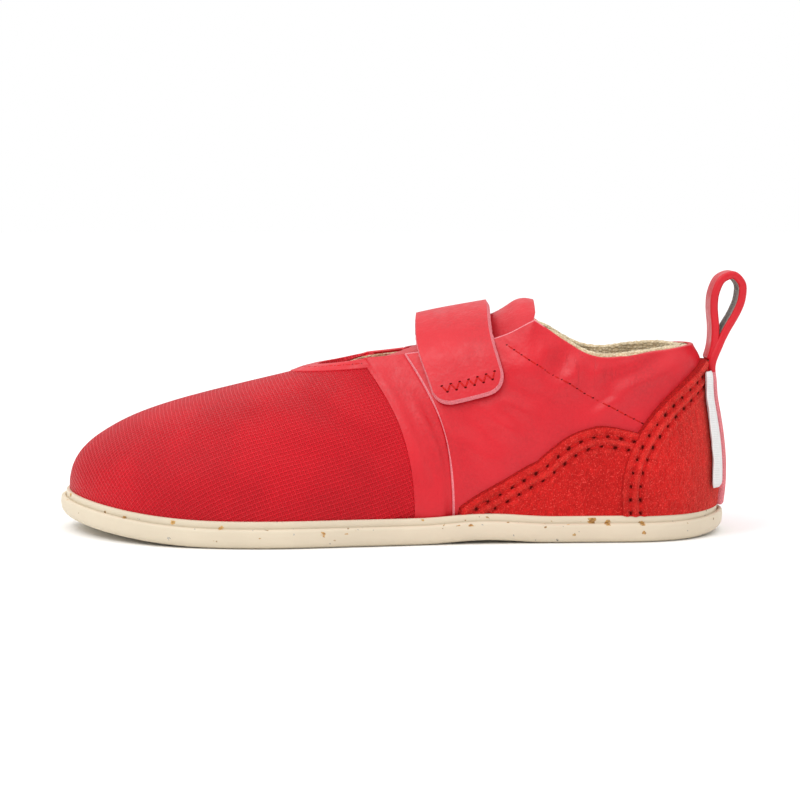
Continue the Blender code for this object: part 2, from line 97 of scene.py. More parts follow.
SoleRow = namedtuple("SoleRow", "share half_width centre")
SOLE_ROWS = (
    SoleRow(0.00, 24.0, 0.0),
    SoleRow(0.18, 25.4, 0.0),
    SoleRow(0.38, 27.0, -0.8),
    SoleRow(0.54, 31.4, -1.2),
    SoleRow(0.68, 35.8, -0.4),
    SoleRow(0.82, 35.4, 2.0),
    SoleRow(1.00, 32.0, 6.0),
)

# Flecks in the rubber: cells a metre, share of cells left plain, size in cells, colours, gain near the lip
Fleck = namedtuple("Fleck", "scale rare size dark light near_lip")
FLECKS = (
    Fleck(235.0, 0.970, 0.27, (0.22, 0.09, 0.02), (0.64, 0.36, 0.09), 0.20),
    Fleck(330.0, 0.940, 0.30, (0.32, 0.14, 0.03), (0.68, 0.41, 0.13), 0.18),
    Fleck(560.0, 0.950, 0.24, (0.18, 0.10, 0.05), (0.50, 0.30, 0.09), 0.13),
    Fleck(760.0, 0.955, 0.22, (0.16, 0.15, 0.14), (0.46, 0.43, 0.38), 0.03),
)

# Upper
WALL = 2.6
COLLAR_PAD = 1.4
UPPER_INSET = LEDGE + STEP_WALL + 4 * GAP
INSTEP_SHIFT = 2.0
INSTEP_SHIFT_START = 0.30
INSTEP_SHIFT_END = 0.60
INSIDE = np.array([0.0, 0.0, 20.0])

Section = namedtuple("Section", "name feather along half height rise bulge reach lean")
SECTIONS = (
    Section("heel back", 0.000, 0.043, 0.0, 48.0, 16.0, 3.6, 14.0, 84.0),
    Section("heel round", 0.040, 0.066, 11.5, 47.6, 16.0, 3.4, 14.0, 84.0),
    Section("heel side", 0.125, 0.130, 18.6, 46.4, 16.0, 2.8, 14.0, 82.0),
    Section("ankle", 0.210, 0.205, 20.8, 46.0, 17.0, 2.4, 15.0, 79.0),
    Section("ear", 0.287, 0.290, 19.8, 54.8, 18.0, 2.2, 18.0, 70.0),
    Section("strap rear", 0.335, 0.350, 17.4, 50.0, 19.0, 2.2, 18.0, 58.0),
    Section("quarter front", 0.395, 0.462, 14.4, 46.4, 20.0, 2.4, 18.0, 47.0),
    Section("saddle front", 0.460, 0.545, 11.4, 44.8, 21.0, 2.8, 19.0, 36.0),
    Section("ball", 0.640, 0.588, 7.4, 43.8, 22.0, 3.6, 21.0, 25.0),
    Section("toe side", 0.830, 0.606, 3.6, 43.4, 22.8, 4.4, 30.4, 17.2),
    Section("toe", 1.000, 0.610, 0.0, 43.2, 22.8, 5.0, 39.6, 14.4),
)
NAMES = [section.name for section in SECTIONS]
EAR = NAMES.index("ear")
STRAP_REAR = NAMES.index("strap rear")
QUARTER_FRONT = NAMES.index("quarter front")
SADDLE_FRONT = NAMES.index("saddle front")
TOE = len(SECTIONS) - 1
ROUND = 2 * TOE
BREAKS = (EAR, ROUND - EAR)

# Outer faces of the upper's layers, as offsets from the main surface, and their shaping
SADDLE_FACE = -0.4
SADDLE_ROLL = 0.45
VAMP_FACE = -1.0
BINDING_FACE = -0.45
BINDING_WIDTH = 3.4
BASE_FLARE = 1.1
EAR_EASE = 0.55
COLLAR_SWELL = 0.9
COLLAR_TURN = 1.5
LINING_FACE = -1.2
LINING_SET_BACK = 1.1
LINING_LIP = 1.5
LINING_ROUND = 0.8
LINING_RAGGED = 0.25

# Creases of the upper: a line bent towards a middle point, in section numbers and shares of the wall
Crease = namedtuple("Crease", "row r bend_row bend_r end_row end_r depth width")
CREASES = (
    Crease(2.30, 1.00, 2.70, 0.84, 3.35, 0.64, 1.10, 3.1),
    Crease(2.95, 1.00, 3.12, 0.88, 3.18, 0.74, 0.70, 1.8),
    Crease(3.45, 1.00, 3.50, 0.84, 3.95, 0.68, 0.95, 2.6),
    Crease(1.45, 0.97, 2.10, 0.90, 2.75, 0.85, 0.70, 1.7),
    Crease(2.55, 0.80, 2.85, 0.74, 3.05, 0.66, 0.45, 1.1),
    Crease(3.70, 0.60, 4.40, 0.66, 5.20, 0.80, 0.85, 3.0),
    Crease(4.30, 0.48, 4.80, 0.58, 5.30, 0.62, 0.45, 1.8),
    Crease(4.90, 0.34, 5.45, 0.46, 5.90, 0.64, 0.80, 2.6),
    Crease(6.15, 0.18, 6.35, 0.48, 6.40, 0.80, 0.65, 1.7),
    Crease(6.60, 0.14, 6.75, 0.45, 6.72, 0.78, 0.55, 1.4),
    Crease(7.50, 0.20, 8.40, 0.50, 8.90, 0.74, 0.42, 3.4),
    Crease(7.20, 0.28, 7.60, 0.60, 8.30, 0.84, 0.55, 2.4),
    Crease(17.70, 1.00, 17.3, 0.84, 16.7, 0.66, 1.20, 2.6),
    Crease(16.9, 1.00, 16.8, 0.88, 16.6, 0.76, 0.80, 1.8),
    Crease(16.2, 0.60, 15.5, 0.66, 14.8, 0.80, 0.80, 2.8),
    Crease(13.8, 0.18, 13.6, 0.48, 13.6, 0.80, 0.60, 1.7),
    Crease(12.8, 0.28, 12.4, 0.60, 11.7, 0.84, 0.50, 2.4),
)

# Low ridge beside each crease: its share of the depth, then its place and width in widths of the trough
RIDGE_SHARE = 0.55
RIDGE_AWAY = 1.7
RIDGE_WIDTH = 0.8

# Tongue
TongueRow = namedtuple("TongueRow", "along crest half_width droop")
TONGUE_ROWS = (
    TongueRow(0.660, 35.6, 10.4, 3.2),
    TongueRow(0.600, 38.4, 11.4, 4.2),
    TongueRow(0.520, 43.6, 12.4, 5.8),
    TongueRow(0.430, 49.0, 14.0, 7.8),
    TongueRow(0.340, 55.6, 16.0, 9.4),
    TongueRow(0.308, 59.2, 16.3, 9.0),
    TongueRow(0.285, 60.9, 16.4, 8.6),
)
TONGUE_THICKNESS = 2.2
TONGUE_CORNER = 7.0
TONGUE_PAD = 0.5
TONGUE_PAD_END = 0.2
TONGUE_ROLL = 1.9
TONGUE_ROLL_LENGTH = 6.0

# Strap
STRAP_WIDTH = 18.5
STRAP_ARCH = 7.2
STRAP_ARCH_LENGTH = 1.12
WALL_LENGTH = 54.0
STRAP_REACH_OUTER = 17.0
STRAP_REACH_INNER = 12.0
STRAP_CORNER = 5.0
STRAP_EASE = 7.0
STRAP_FACE = 2.2
STRAP_CROWN = 0.35
STRAP_MIDDLE = (STRAP_REAR + QUARTER_FRONT) / 2
QUARTER_LAP = 0.17

# Suede panels
OVERLAY_CLEAR = 0.15
COUNTER_FACE = 2.0
OVERLAY_FACE = 1.35
CounterRow = namedtuple("CounterRow", "height reach")
COUNTER_ROWS = (
    CounterRow(0.0, 27.4),
    CounterRow(5.0, 27.6),
    CounterRow(9.0, 27.4),
    CounterRow(12.0, 26.8),
    CounterRow(15.0, 25.8),
    CounterRow(18.0, 24.4),
    CounterRow(20.5, 22.8),
    CounterRow(23.5, 20.2),
    CounterRow(26.5, 16.8),
    CounterRow(29.5, 12.8),
    CounterRow(32.5, 8.2),
    CounterRow(34.5, 4.4),
    CounterRow(36.0, 0.8),
)
OverlayRow = namedtuple("OverlayRow", "from_heel height")
OVERLAY_ROWS = (
    OverlayRow(22.0, 19.4),
    OverlayRow(26.0, 20.6),
    OverlayRow(33.0, 21.6),
    OverlayRow(40.0, 19.6),
    OverlayRow(46.0, 15.4),
    OverlayRow(52.0, 11.0),
    OverlayRow(58.0, 7.0),
    OverlayRow(63.0, 4.0),
    OverlayRow(67.0, 1.4),
)

Wing = namedtuple("Wing", "name node side")
WINGS = (
    Wing("suede_wing_outer", "side_overlay_lateral", -1),
    Wing("suede_wing_inner", "side_overlay_medial", 1),
)

# Heel band and label
STRIP_HALF_WIDTH = 6.0
STRIP_TOP = 45.0
STRIP_KNOTS = 9
STRIP_WRAP = 1.1
BAND_FACE = 3.6
LOOP_HALF_WIDTH = 5.0
LOOP_LEAN = 13.0
LOOP_OFFSET = 3.9
LOOP_LIFT = 1.9
LoopPoint = namedtuple("LoopPoint", "out up")
LOOP_POINTS = (
    LoopPoint(1.6, 0.2),
    LoopPoint(2.5, 4.5),
    LoopPoint(4.0, 9.6),
    LoopPoint(4.5, 13.6),
    LoopPoint(3.5, 17.8),
    LoopPoint(0.1, 19.9),
    LoopPoint(-3.3, 17.8),
    LoopPoint(-4.3, 13.6),
    LoopPoint(-3.8, 9.6),
    LoopPoint(-2.2, 4.5),
    LoopPoint(-1.4, 0.2),
    LoopPoint(-1.5, -3.5),
)
LABEL_LENGTH = 28.0
LABEL_BOTTOM = 12.5
LABEL_WIDTH = 5.5
LABEL_CLEAR = 0.3

# Swell beside a drawn-in seam: its share of the depth, then its place and width in widths of the seam
SWELL_SHARE = 0.75
SWELL_AWAY = 2.1
SWELL_WIDTH = 0.9

# Stage: lamps in metres and watts, the camera's rise in degrees, its lens and sensor in millimetres
Lamp = namedtuple("Lamp", "name place power size")
LAMPS = (
    Lamp("key", (-0.50, -0.45, 0.75), 2.6, 0.45),
    Lamp("side", (0.75, -0.50, 0.45), 0.4, 0.60),
)
LAMP_AIM = np.array([0.0, 0.0, 0.03])
CAMERA_RISE = 5.0
LENS = 100.0
SENSOR = 36.0


# Sizes and colours

def length(name, description, default):
    return bpy.props.FloatProperty(
        name=name, description=description, default=default, min=0.0,
        unit="LENGTH", subtype="DISTANCE", precision=5)


def colour(name, description, default):
    return bpy.props.FloatVectorProperty(
        name=name, description=description, default=default, size=3, min=0.0, max=1.0, subtype="COLOR")


class ShoeSizes(bpy.types.PropertyGroup):
    leather: length("Leather", "Thickness of the smooth leather panels", 0.0011)
    suede: length("Suede", "Thickness of the suede panels", 0.0013)
    counter: length("Counter", "Thickness of the suede heel counter", 0.0017)
    strap: length("Strap", "Thickness of the instep strap", 0.0015)
    band: length("Heel band", "Thickness of the doubled heel band and its loop", 0.0020)
    tape: length("Tape", "Thickness of one leaf of the white tape", 0.00035)
    rounding: length("Edge rounding", "Rounding of cut edges", 0.00028)
    weave_pitch: length("Grid pitch", "Pitch of the raised grid on the vamp", 0.00098)
    suede_pitch: length("Suede stitch pitch", "Pitch of the stitches on suede", 0.0034)
    leather_pitch: length("Leather stitch pitch", "Pitch of the stitches on smooth leather", 0.0024)
    thread: length("Thread", "Width of the sewing thread", 0.00062)
    camera_frame: length("Camera frame", "Width of the picture at the shoe", 0.205)


class ShoeColours(bpy.types.PropertyGroup):
    leather: colour("Leather", "Smooth leather of quarters, strap, tongue and heel band", (0.600, 0.008, 0.018))
    vamp: colour("Vamp", "Grid leather of the vamp", (0.660, 0.006, 0.018))
    suede: colour("Suede", "Nap of the heel panels", (0.765, 0.020, 0.019))
    raw_edge: colour("Cut edge", "Cut edges of strap, quarters and band", (0.800, 0.250, 0.280))
    rubber: colour("Rubber", "Cream sole", (0.690, 0.600, 0.455))
    lining: colour("Lining", "Cloth lining and insole", (0.760, 0.640, 0.430))
    loop_lining: colour("Loop lining", "Grey underside of the pull loop", (0.360, 0.300, 0.280))
    tape: colour("Tape", "White label tape", (0.800, 0.790, 0.780))
    thread: colour("Thread", "Sewing thread", (0.560, 0.014, 0.012))
    floor: colour("Floor", "Pale studio floor", (0.970, 0.970, 0.970))


# Curves of form, worked out for many points at once

def hermite(first, last, first_slope, last_slope, t):
    """Cubic from first at t = 0 to last at t = 1, with a slope at either end."""
    start = first * (1 + 2 * t) + first_slope * t
    end = last * (3 - 2 * t) - last_slope * (1 - t)
    return start * (1 - t) ** 2 + end * t ** 2


def curve_through(knots, values, at):
    """Cubic curve through the values at the knots, with the slope at each from its neighbours."""
    knots, values = np.asarray(knots, float), np.asarray(values, float)
    at = np.clip(at, knots[0], knots[-1])
    low = np.clip(np.searchsorted(knots, at, side="left") - 1, 0, len(knots) - 2)
    place = np.arange(len(knots))
    before, after = np.maximum(place - 1, 0), np.minimum(place + 1, len(knots) - 1)
    slope = (values[after] - values[before]) / (knots[after] - knots[before])
    span = knots[low + 1] - knots[low]
    t = (at - knots[low]) / span
    return hermite(values[low], values[low + 1], slope[low] * span, slope[low + 1] * span, t)


def table_curve(table, key, column, at):
    """Smooth curve through one column of a table, over its rising key column."""
    return curve_through([getattr(row, key) for row in table], [getattr(row, column) for row in table], at)


def bent(start, middle, end, t):
    """Quadratic curve from start to end, drawn towards a middle value."""
    return start * (1 - t) ** 2 + middle * 2 * t * (1 - t) + end * t ** 2


def halved(low, high, before, steps):
    """Place between low and high where before(place) turns from true to false, found by halving."""
    for _ in range(steps):
        middle = (low + high) / 2
        short = before(middle)
        low, high = np.where(short, middle, low), np.where(short, high, middle)
    return low


def run_of(path):
    """Length along a path, or along each column of a grid of points, up to every point."""
    steps = np.cumsum(np.linalg.norm(np.diff(path, axis=0), axis=-1), axis=0)
    return np.concatenate([np.zeros_like(steps[:1]), steps])


def stretches(*parts):
    """Values in even steps, one stretch after another, each given as start, end and count."""
    return np.concatenate([np.linspace(*part) for part in parts])


def fade(value, low, high):
    """Goes softly from 0 at low to 1 at high."""
    t = np.clip((value - low) / (high - low), 0.0, 1.0)
    return t * t * (3 - 2 * t)


def unit(vectors):
    return vectors / np.maximum(np.linalg.norm(vectors, axis=-1, keepdims=True), 1e-9)


def points(*columns):
    """Points, or pairs of a panel's coordinates, from one array or number for each column."""
    return np.stack(np.broadcast_arrays(*(np.asarray(column, float) for column in columns)), axis=-1)


def lift(x):
    """Height of the sole's underside over the floor: heel, arch and toe spring."""
    share = 0.5 - x / LENGTH
    toe = np.maximum(share - TOE_SPRING_START, 0.0) / (1 - TOE_SPRING_START)
    heel = np.maximum(HEEL_LIFT_END - share, 0.0) / HEEL_LIFT_END
    arch = np.clip((share - ARCH_START) / (ARCH_END - ARCH_START), 0.0, 1.0)
    return TOE_SPRING * toe ** 2 + HEEL_LIFT * heel ** 2 + ARCH_LIFT * np.sin(np.pi * arch) ** 2


def outline(angle):
    """Outline of the sole; 0 degrees is the heel, 180 the toe, the outer side comes first."""
    share = (1 - np.cos(np.radians(angle))) / 2
    heel_cap = 1 - np.minimum(share * LENGTH / HEEL_ROUND, 1.0)
    toe_cap = 1 - np.minimum((1 - share) * LENGTH / TOE_ROUND, 1.0)
    rounded = np.maximum(1 - heel_cap ** 2, 0.0) * np.maximum(1 - toe_cap ** 2, 0.0)
    half = table_curve(SOLE_ROWS, "share", "half_width", share) * np.sqrt(rounded)
    side = np.where(np.mod(angle, 360.0) < 180.0, -1.0, 1.0)
    return points(LENGTH * (0.5 - share), table_curve(SOLE_ROWS, "share", "centre", share) + side * half, 0.0)


def outward(angle):
    along = outline(angle + 0.4) - outline(angle - 0.4)
    return unit(points(-along[..., 1], along[..., 0], 0.0))


def edge_point(angle, inset):
    return outline(angle) - outward(angle) * np.asarray(inset, float)[..., None]


def spine_point(angle, inset):
    return (edge_point(angle, inset) + edge_point(360.0 - angle, inset)) / 2


def loop_columns():
    """Each column of the sections as one array round the shoe: the outer side, then the inner side back."""
    index = [i if i <= TOE else ROUND - i for i in range(ROUND)]
    side = np.array([1.0 if i > TOE else -1.0 for i in range(ROUND)])
    table = {name: np.array([getattr(SECTIONS[i], name) for i in index]) for name in Section._fields[1:]}
    angle = np.degrees(np.arccos(1 - 2 * table["feather"]))
    table["angle"] = np.where(side > 0, 360.0 - angle, angle)
    table["half"] = table["half"] * side
    return table


LOOP = loop_columns()


def loop_value(column, row, sharp=False, turn=0.0):
    """Smooth closed curve through one column; sharp curves bend freely at the ears."""
    values = LOOP[column]
    low = np.floor(row).astype(int)
    t = row - low

    def at(index):
        return values[index % ROUND] + turn * (index // ROUND)

    before, rise, after = at(low) - at(low - 1), at(low + 1) - at(low), at(low + 2) - at(low + 1)
    first, last = (before + rise) / 2, (rise + after) / 2
    if sharp:
        first = np.where(np.isin(low % ROUND, BREAKS), rise, first)
        last = np.where(np.isin((low + 1) % ROUND, BREAKS), rise, last)
    return hermite(at(low), at(low + 1), first, last, t)


def instep_shift(share):
    """The throat and the tongue lie a little towards the inner side."""
    return INSTEP_SHIFT * fade(share, INSTEP_SHIFT_START, INSTEP_SHIFT_END)


def top_line(row):
    share = loop_value("along", row, True)
    half = loop_value("half", row, True) + instep_shift(share)
    return points(LENGTH * (0.5 - share), half, loop_value("height", row, True))


def wall(row, r):
    """Main surface of the upper: row runs round the shoe, r from the sole to the top line."""
    row, r = np.broadcast_arrays(np.asarray(row, float), np.asarray(r, float))
    angle = loop_value("angle", row, turn=360.0)
    start = edge_point(angle, UPPER_INSET)
    start[..., 2] = lift(start[..., 0]) + FLOOR_HEIGHT + GAP
    end = top_line(row)
    lean = np.radians(loop_value("lean", row))
    inward = end - start
    inward[..., 2] = 0.0
    inward = unit(inward) * np.cos(lean)[..., None]
    inward[..., 2] = np.sin(lean)
    first = start + outward(angle) * loop_value("bulge", row)[..., None]
    first[..., 2] += loop_value("rise", row)
    last = end - inward * loop_value("reach", row)[..., None]
    r, s = r[..., None], 1 - r[..., None]
    return start * s ** 3 + first * 3 * s * s * r + last * 3 * s * r * r + end * r ** 3


def wall_normal(row, r):
    r = np.clip(r, 0.01, 0.99)
    around = wall(row + 0.01, r) - wall(row - 0.01, r)
    up = wall(row, r + 0.01) - wall(row, r - 0.01)
    return unit(np.cross(up, around))


def from_heel(row):
    """Section number counted from the heel on either side."""
    row = np.mod(row, ROUND)
    return np.minimum(row, ROUND - row)


def row_at(distance, side):
    """Section number where the wall leaves the sole at this distance from the heel."""
    goal = np.degrees(np.arccos(np.clip(1 - 2 * np.asarray(distance, float) / LENGTH, -1.0, 1.0)))
    row = halved(np.zeros_like(goal), np.full_like(goal, float(TOE)),
                 lambda row: loop_value("angle", row, turn=360.0) < goal, 30)
    return np.where(np.asarray(side) < 0, row, -row)


def r_at(row, height, surface=wall):
    """Share of the wall curve at this height over the floor."""
    row, height = np.broadcast_arrays(np.asarray(row, float), np.asarray(height, float))
    return halved(np.zeros_like(row), np.ones_like(row), lambda r: surface(row, r)[..., 2] < height, 22)


def spot_at(x, z):
    """Section number and share of the wall at this place on a quarter, seen from the side."""
    r = np.full_like(x, 0.7)
    for _ in range(5):
        row = halved(np.full_like(x, 1.0), np.full_like(x, float(QUARTER_FRONT)),
                     lambda row: eased_wall(row, r)[..., 0] > x, 22)
        r = r_at(row, z, eased_wall)
    return row, r


def crease_lines():
    """Points and end fading of each crease on the wall."""
    t = np.linspace(0.0, 1.0, 33)
    lines = []
    for crease in CREASES:
        row = bent(crease.row, crease.bend_row, crease.end_row, t)
        r = bent(crease.r, crease.bend_r, crease.end_r, t)
        lines.append((wall(row, r), fade(t, -0.05, 0.3) * fade(1 - t, 0.0, 0.4), crease))
    return lines


CREASE_LINES = crease_lines()


def crease_depth(place):
    """Soft troughs with a low ridge beside each."""
    depth = np.zeros(place.shape[:-1])
    for line, strength, crease in CREASE_LINES:
        away = np.linalg.norm(place[..., None, :] - line, axis=-1)
        nearest = np.argmin(away, axis=-1)
        d = np.min(away, axis=-1) / crease.width
        shape = np.exp(-d * d) - RIDGE_SHARE * np.exp(-((d - RIDGE_AWAY) / RIDGE_WIDTH) ** 2)
        depth -= crease.depth * strength[nearest] * shape
    return depth


def puff(row, r):
    """The padded collar swells below its edge and turns in at the top."""
    collar = 1 - fade(from_heel(row), EAR - 0.9, EAR + 0.3)
    return collar * (COLLAR_SWELL * fade(r, 0.62, 0.86) - COLLAR_TURN * fade(r, 0.9, 1.02))


def eased(place_at, reach):
    """Mean of a path's points over a reach to both sides, heaviest in the middle."""
    shifts = np.linspace(-1.0, 1.0, 9)
    weights = np.cos(shifts * np.pi / 2 * 0.9)
    return sum(weight * place_at(shift * reach) for shift, weight in zip(shifts, weights)) / np.sum(weights)


def eased_wall(row, r):
    """The wall with its fold under each ear rounded off, while the ear keeps its point."""
    row, r = np.broadcast_arrays(np.asarray(row, float), np.asarray(r, float))
    reach = np.maximum(EAR_EASE - np.abs(from_heel(row) - EAR), 0.0) * (1 - fade(r, 0.90, 1.0))
    place = wall(row, r)
    near = reach > 0
    if near.any():
        place[near] = eased(lambda shift: wall(row[near] + shift, r[near]), reach[near])
    return place


def skin(row, r, offset=0.0):
    """The worn surface at an offset from the wall, with the puffed collar and the creases."""
    row, r, offset = np.broadcast_arrays(np.asarray(row, float), np.asarray(r, float), np.asarray(offset, float))
    place = eased_wall(row, r)
    away = offset + puff(row, r) + crease_depth(place)
    return place + wall_normal(row, r) * away[..., None]


def overlay_base(row):
    """Lowest height of a suede panel: the top of the sole's step."""
    angle = loop_value("angle", row, turn=360.0)
    return lift(edge_point(angle, UPPER_INSET)[..., 0]) + RIM_HEIGHT + STEP_HEIGHT + OVERLAY_CLEAR


def rows_between(start, end, pitch):
    """Section numbers from start to end, with every whole number among them."""
    stops = [start] + [float(i) for i in range(math.ceil(start + 1e-6), math.ceil(end - 1e-6))] + [end]
    rows = [np.linspace(a, b, max(2, round((b - a) / pitch) + 1))[:-1] for a, b in zip(stops, stops[1:])]
    return np.concatenate(rows + [[end]])


# Modelling

def only(item):
    bpy.ops.object.select_all(action="DESELECT")
    bpy.context.view_layer.objects.active = item
    item.select_set(True)


def in_edit_mode(item, *steps):
    """Runs edit-mode operators, each with its settings, on all of a piece."""
    only(item)
    bpy.ops.object.mode_set(mode="EDIT")
    for operator, settings in steps:
        bpy.ops.mesh.select_all(action="SELECT")
        operator(**settings)
    bpy.ops.object.mode_set(mode="OBJECT")


def read(items, key, width=1, kind=float):
    """One value or point of each item, as an array."""
    flat = np.empty(len(items) * width, kind)
    items.foreach_get(key, flat)
    return flat.reshape(-1, width) if width > 1 else flat


def apply_modifier(item, kind, **values):
    only(item)
    bpy.ops.object.modifier_add(type=kind)
    modifier = item.modifiers[-1]
    for key, value in values.items():
        setattr(modifier, key, value)
    bpy.ops.object.modifier_apply(modifier=modifier.name)


def smooth_shading(item, angle=50.0):
    only(item)
    bpy.ops.object.shade_smooth_by_angle(angle=math.radians(angle))


def grid(name, columns, rows, place, finishes):
    """A grid primitive whose points are moved by given functions; its UV map is in millimetres."""
    columns, rows = np.asarray(columns), np.asarray(rows)
    bpy.ops.object.select_all(action="DESELECT")
    bpy.ops.mesh.primitive_grid_add(
        x_subdivisions=len(columns) - 1, y_subdivisions=len(rows) - 1, size=2.0, calc_uvs=True)
    item = bpy.context.active_object
    item.name = name
    mesh = item.data
    mesh.name = name
    flat = read(mesh.vertices, "co", 3)
    i = np.rint((flat[:, 0] + 1) / 2 * (len(columns) - 1)).astype(int)
    j = np.rint((flat[:, 1] + 1) / 2 * (len(rows) - 1)).astype(int)
    spread_i, spread_j = np.meshgrid(np.arange(len(columns)), np.arange(len(rows)), indexing="ij")
    placed = place(columns[spread_i], rows[spread_j])
    mesh.vertices.foreach_set("co", (placed[i, j] * MM).ravel())
    across, along = run_of(placed), run_of(placed.swapaxes(0, 1)).T
    corner = read(mesh.loops, "vertex_index", kind=int)
    uv = points(across[i, j][corner], along[i, j][corner])
    mesh.uv_layers[0].name = "UVMap"
    mesh.uv_layers[0].data.foreach_set("uv", uv.ravel())
    for finish in finishes:
        mesh.materials.append(finish)
    mesh.update()
    return item


def weld(item, solid=True):
    """Closes a grid where it meets itself and, where that makes a solid, turns its faces outwards."""
    steps = [(bpy.ops.mesh.remove_doubles, {"threshold": 2e-6})]
    if solid:
        steps += [(bpy.ops.mesh.dissolve_degenerate, {"threshold": 1e-7}),
                  (bpy.ops.mesh.normals_make_consistent, {"inside": False})]
    in_edit_mode(item, *steps)


def face_outwards(item):
    """Turns an open sheet so that its faces look away from the middle of the shoe."""
    faces = item.data.polygons
    away = read(faces, "center", 3) - INSIDE * MM
    if np.sum(np.einsum("ij,ij->i", read(faces, "normal", 3), away) * read(faces, "area")) < 0:
        in_edit_mode(item, (bpy.ops.mesh.flip_normals, {}))


def panel(name, columns, rows, place, finishes, thickness, rounding, rim=0, inner=0, lean=0.0):
    """An open sheet placed by its outer face, thickened inwards; its cut edges lean out and are rounded."""
    item = grid(name, columns, rows, place, finishes)
    weld(item, solid=False)
    face_outwards(item)
    face = len(item.data.vertices)
    apply_modifier(item, "SOLIDIFY", thickness=thickness, offset=-1.0, use_even_offset=True,
                   material_offset_rim=rim, material_offset=inner)
    if lean:
        lean_edges(item, face, lean)
    if rounding:
        apply_modifier(item, "BEVEL", width=rounding, segments=2, limit_method="ANGLE",
                       angle_limit=math.radians(55.0), use_clamp_overlap=True, material=rim or -1)
    smooth_shading(item)
    return item


def lean_edges(item, face, lean):
    """Moves the inner line of a panel's cut edge outwards, so that the cut shows from in front."""
    mesh = item.data
    place = read(mesh.vertices, "co", 3)
    out = np.zeros_like(place)
    for polygon in mesh.polygons:
        corners = np.array(polygon.vertices)
        on_sole = polygon.normal.z < -0.6 and polygon.center.z < SOLE_TOP * MM
        if corners.min() < face <= corners.max() and not on_sole:
            out[corners] += polygon.normal
    out[:face] = 0.0
    mesh.vertices.foreach_set("co", (place + unit(out) * lean * MM).ravel())
    mesh.update()


def dress(item, slot, *nodes):
    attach(item, "root")
    if nodes:
        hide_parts(*nodes)
    return item


def bead(length_mm, width_mm, height_mm):
    """One stitch or pinhole: a small ball drawn out to its length."""
    bpy.ops.object.select_all(action="DESELECT")
    bpy.ops.mesh.primitive_uv_sphere_add(segments=8, ring_count=5, radius=0.5)
    item = bpy.context.active_object
    in_edit_mode(item, (bpy.ops.transform.resize, {"value": (length_mm, width_mm, height_mm)}))
    mesh = item.data
    corners = read(mesh.vertices, "co", 3)
    faces = [tuple(polygon.vertices) for polygon in mesh.polygons]
    bpy.data.objects.remove(item)
    bpy.data.meshes.remove(mesh)
    return corners, faces


def joined(name, model, centres, forward, up, finish, stretch=1.0):
    """Copies of one small shape, joined as one mesh: each has a centre, a direction, an up and a stretch."""
    corners, faces = model
    stretch = np.broadcast_to(stretch, len(centres))[:, None, None]
    forward = unit(forward)
    side = unit(np.cross(up, forward))
    rise = np.cross(forward, side)
    placed = (centres[:, None, :] + corners[None, :, 0:1] * forward[:, None, :] * stretch
              + corners[None, :, 1:2] * side[:, None, :] + corners[None, :, 2:3] * rise[:, None, :])
    count = len(corners)
    all_faces = [tuple(v + count * k for v in face) for k in range(len(centres)) for face in faces]
    mesh = bpy.data.meshes.new(name)
    mesh.from_pydata((placed.reshape(-1, 3) * MM).tolist(), [], all_faces)
    mesh.materials.append(finish)
    mesh.update()
    item = bpy.data.objects.new(name, mesh)
    bpy.context.scene.collection.objects.link(item)
    smooth_shading(item, 80.0)
    return item


def along_path(path, normals, pitch, start=0.0):
    """Centres, directions and ups of a row of stitches along a path."""
    run = run_of(path)
    count = max(int((run[-1] - start) / pitch), 1)
    at = start + (np.arange(count) + 0.5) * pitch

    def along(values, where):
        return points(*(np.interp(where, run, column) for column in values.T))

    ahead = along(path, at + 0.3) - along(path, at - 0.3)
    return along(path, at), unit(ahead), unit(along(normals, at))


def inset_path(place, edge, towards, distance):
    """Path on a panel at an even distance from its edge, and the surface's ups along it."""
    rim = place(*edge.T)

    def near(share):
        here = place(*(edge + (towards - edge) * share[:, None]).T)
        return np.min(np.linalg.norm(here[:, None, :] - rim[None, :, :], axis=-1), axis=-1) < distance

    share = halved(np.zeros(len(edge)), np.ones(len(edge)), near, 18)
    return on_panel(place, (edge + (towards - edge) * share[:, None])[share < 0.985])


def on_panel(place, spot):
    """Points of a panel at pairs of its coordinates, and the surface's ups there."""
    first, second = spot.T
    here = place(first, second)
    step = 1e-3
    across = place(first + step, second) - place(first - step, second)
    along = place(first, second + step) - place(first, second - step)
    up = unit(np.cross(across, along))
    up *= np.where(np.einsum("ij,ij->i", up, here - INSIDE) < 0, -1.0, 1.0)[:, None]
    return here, up


def draw_in(item, runs, pitch, depth, width):
    """Moves a panel's outer face in along its rows of stitches, most at the holes, and swells it beside them."""
    mesh = item.data
    place, normal = read(mesh.vertices, "co", 3) / MM, read(mesh.vertex_normals, "vector", 3)
    move = np.zeros(len(place))
    for path, ups in runs:
        run = run_of(path)
        tree = KDTree(len(path))
        for index, spot in enumerate(path):
            tree.insert(spot, index)
        tree.balance()
        found = [tree.find(spot)[1:] for spot in place]
        nearest = np.array([index for index, away in found])
        away = np.array([away for index, away in found]) / width
        hole = 0.5 + 0.5 * np.cos(2 * np.pi * run[nearest] / pitch)
        outer = np.einsum("ij,ij->i", normal, ups[nearest]) > 0.4
        uneven = 0.8 + 0.2 * np.sin(run[nearest] * 1.7 + 2.0 * np.sin(run[nearest] * 0.61))
        swell = SWELL_SHARE * np.exp(-((away - SWELL_AWAY) / SWELL_WIDTH) ** 2) * (0.4 + 0.6 * (1 - hole))
        move += depth * outer * uneven * (swell - np.exp(-away ** 2) * (0.35 + 0.65 * hole ** 2))
    mesh.vertices.foreach_set("co", ((place + normal * move[:, None]) * MM).ravel())
    # The move is kept as the attribute drawn, from which the suede paints shade in the troughs and highlight on the
    # swells.
    mesh.attributes.new("drawn", "FLOAT", "POINT").data.foreach_set("value", move / depth)
    mesh.update()


# Finishes

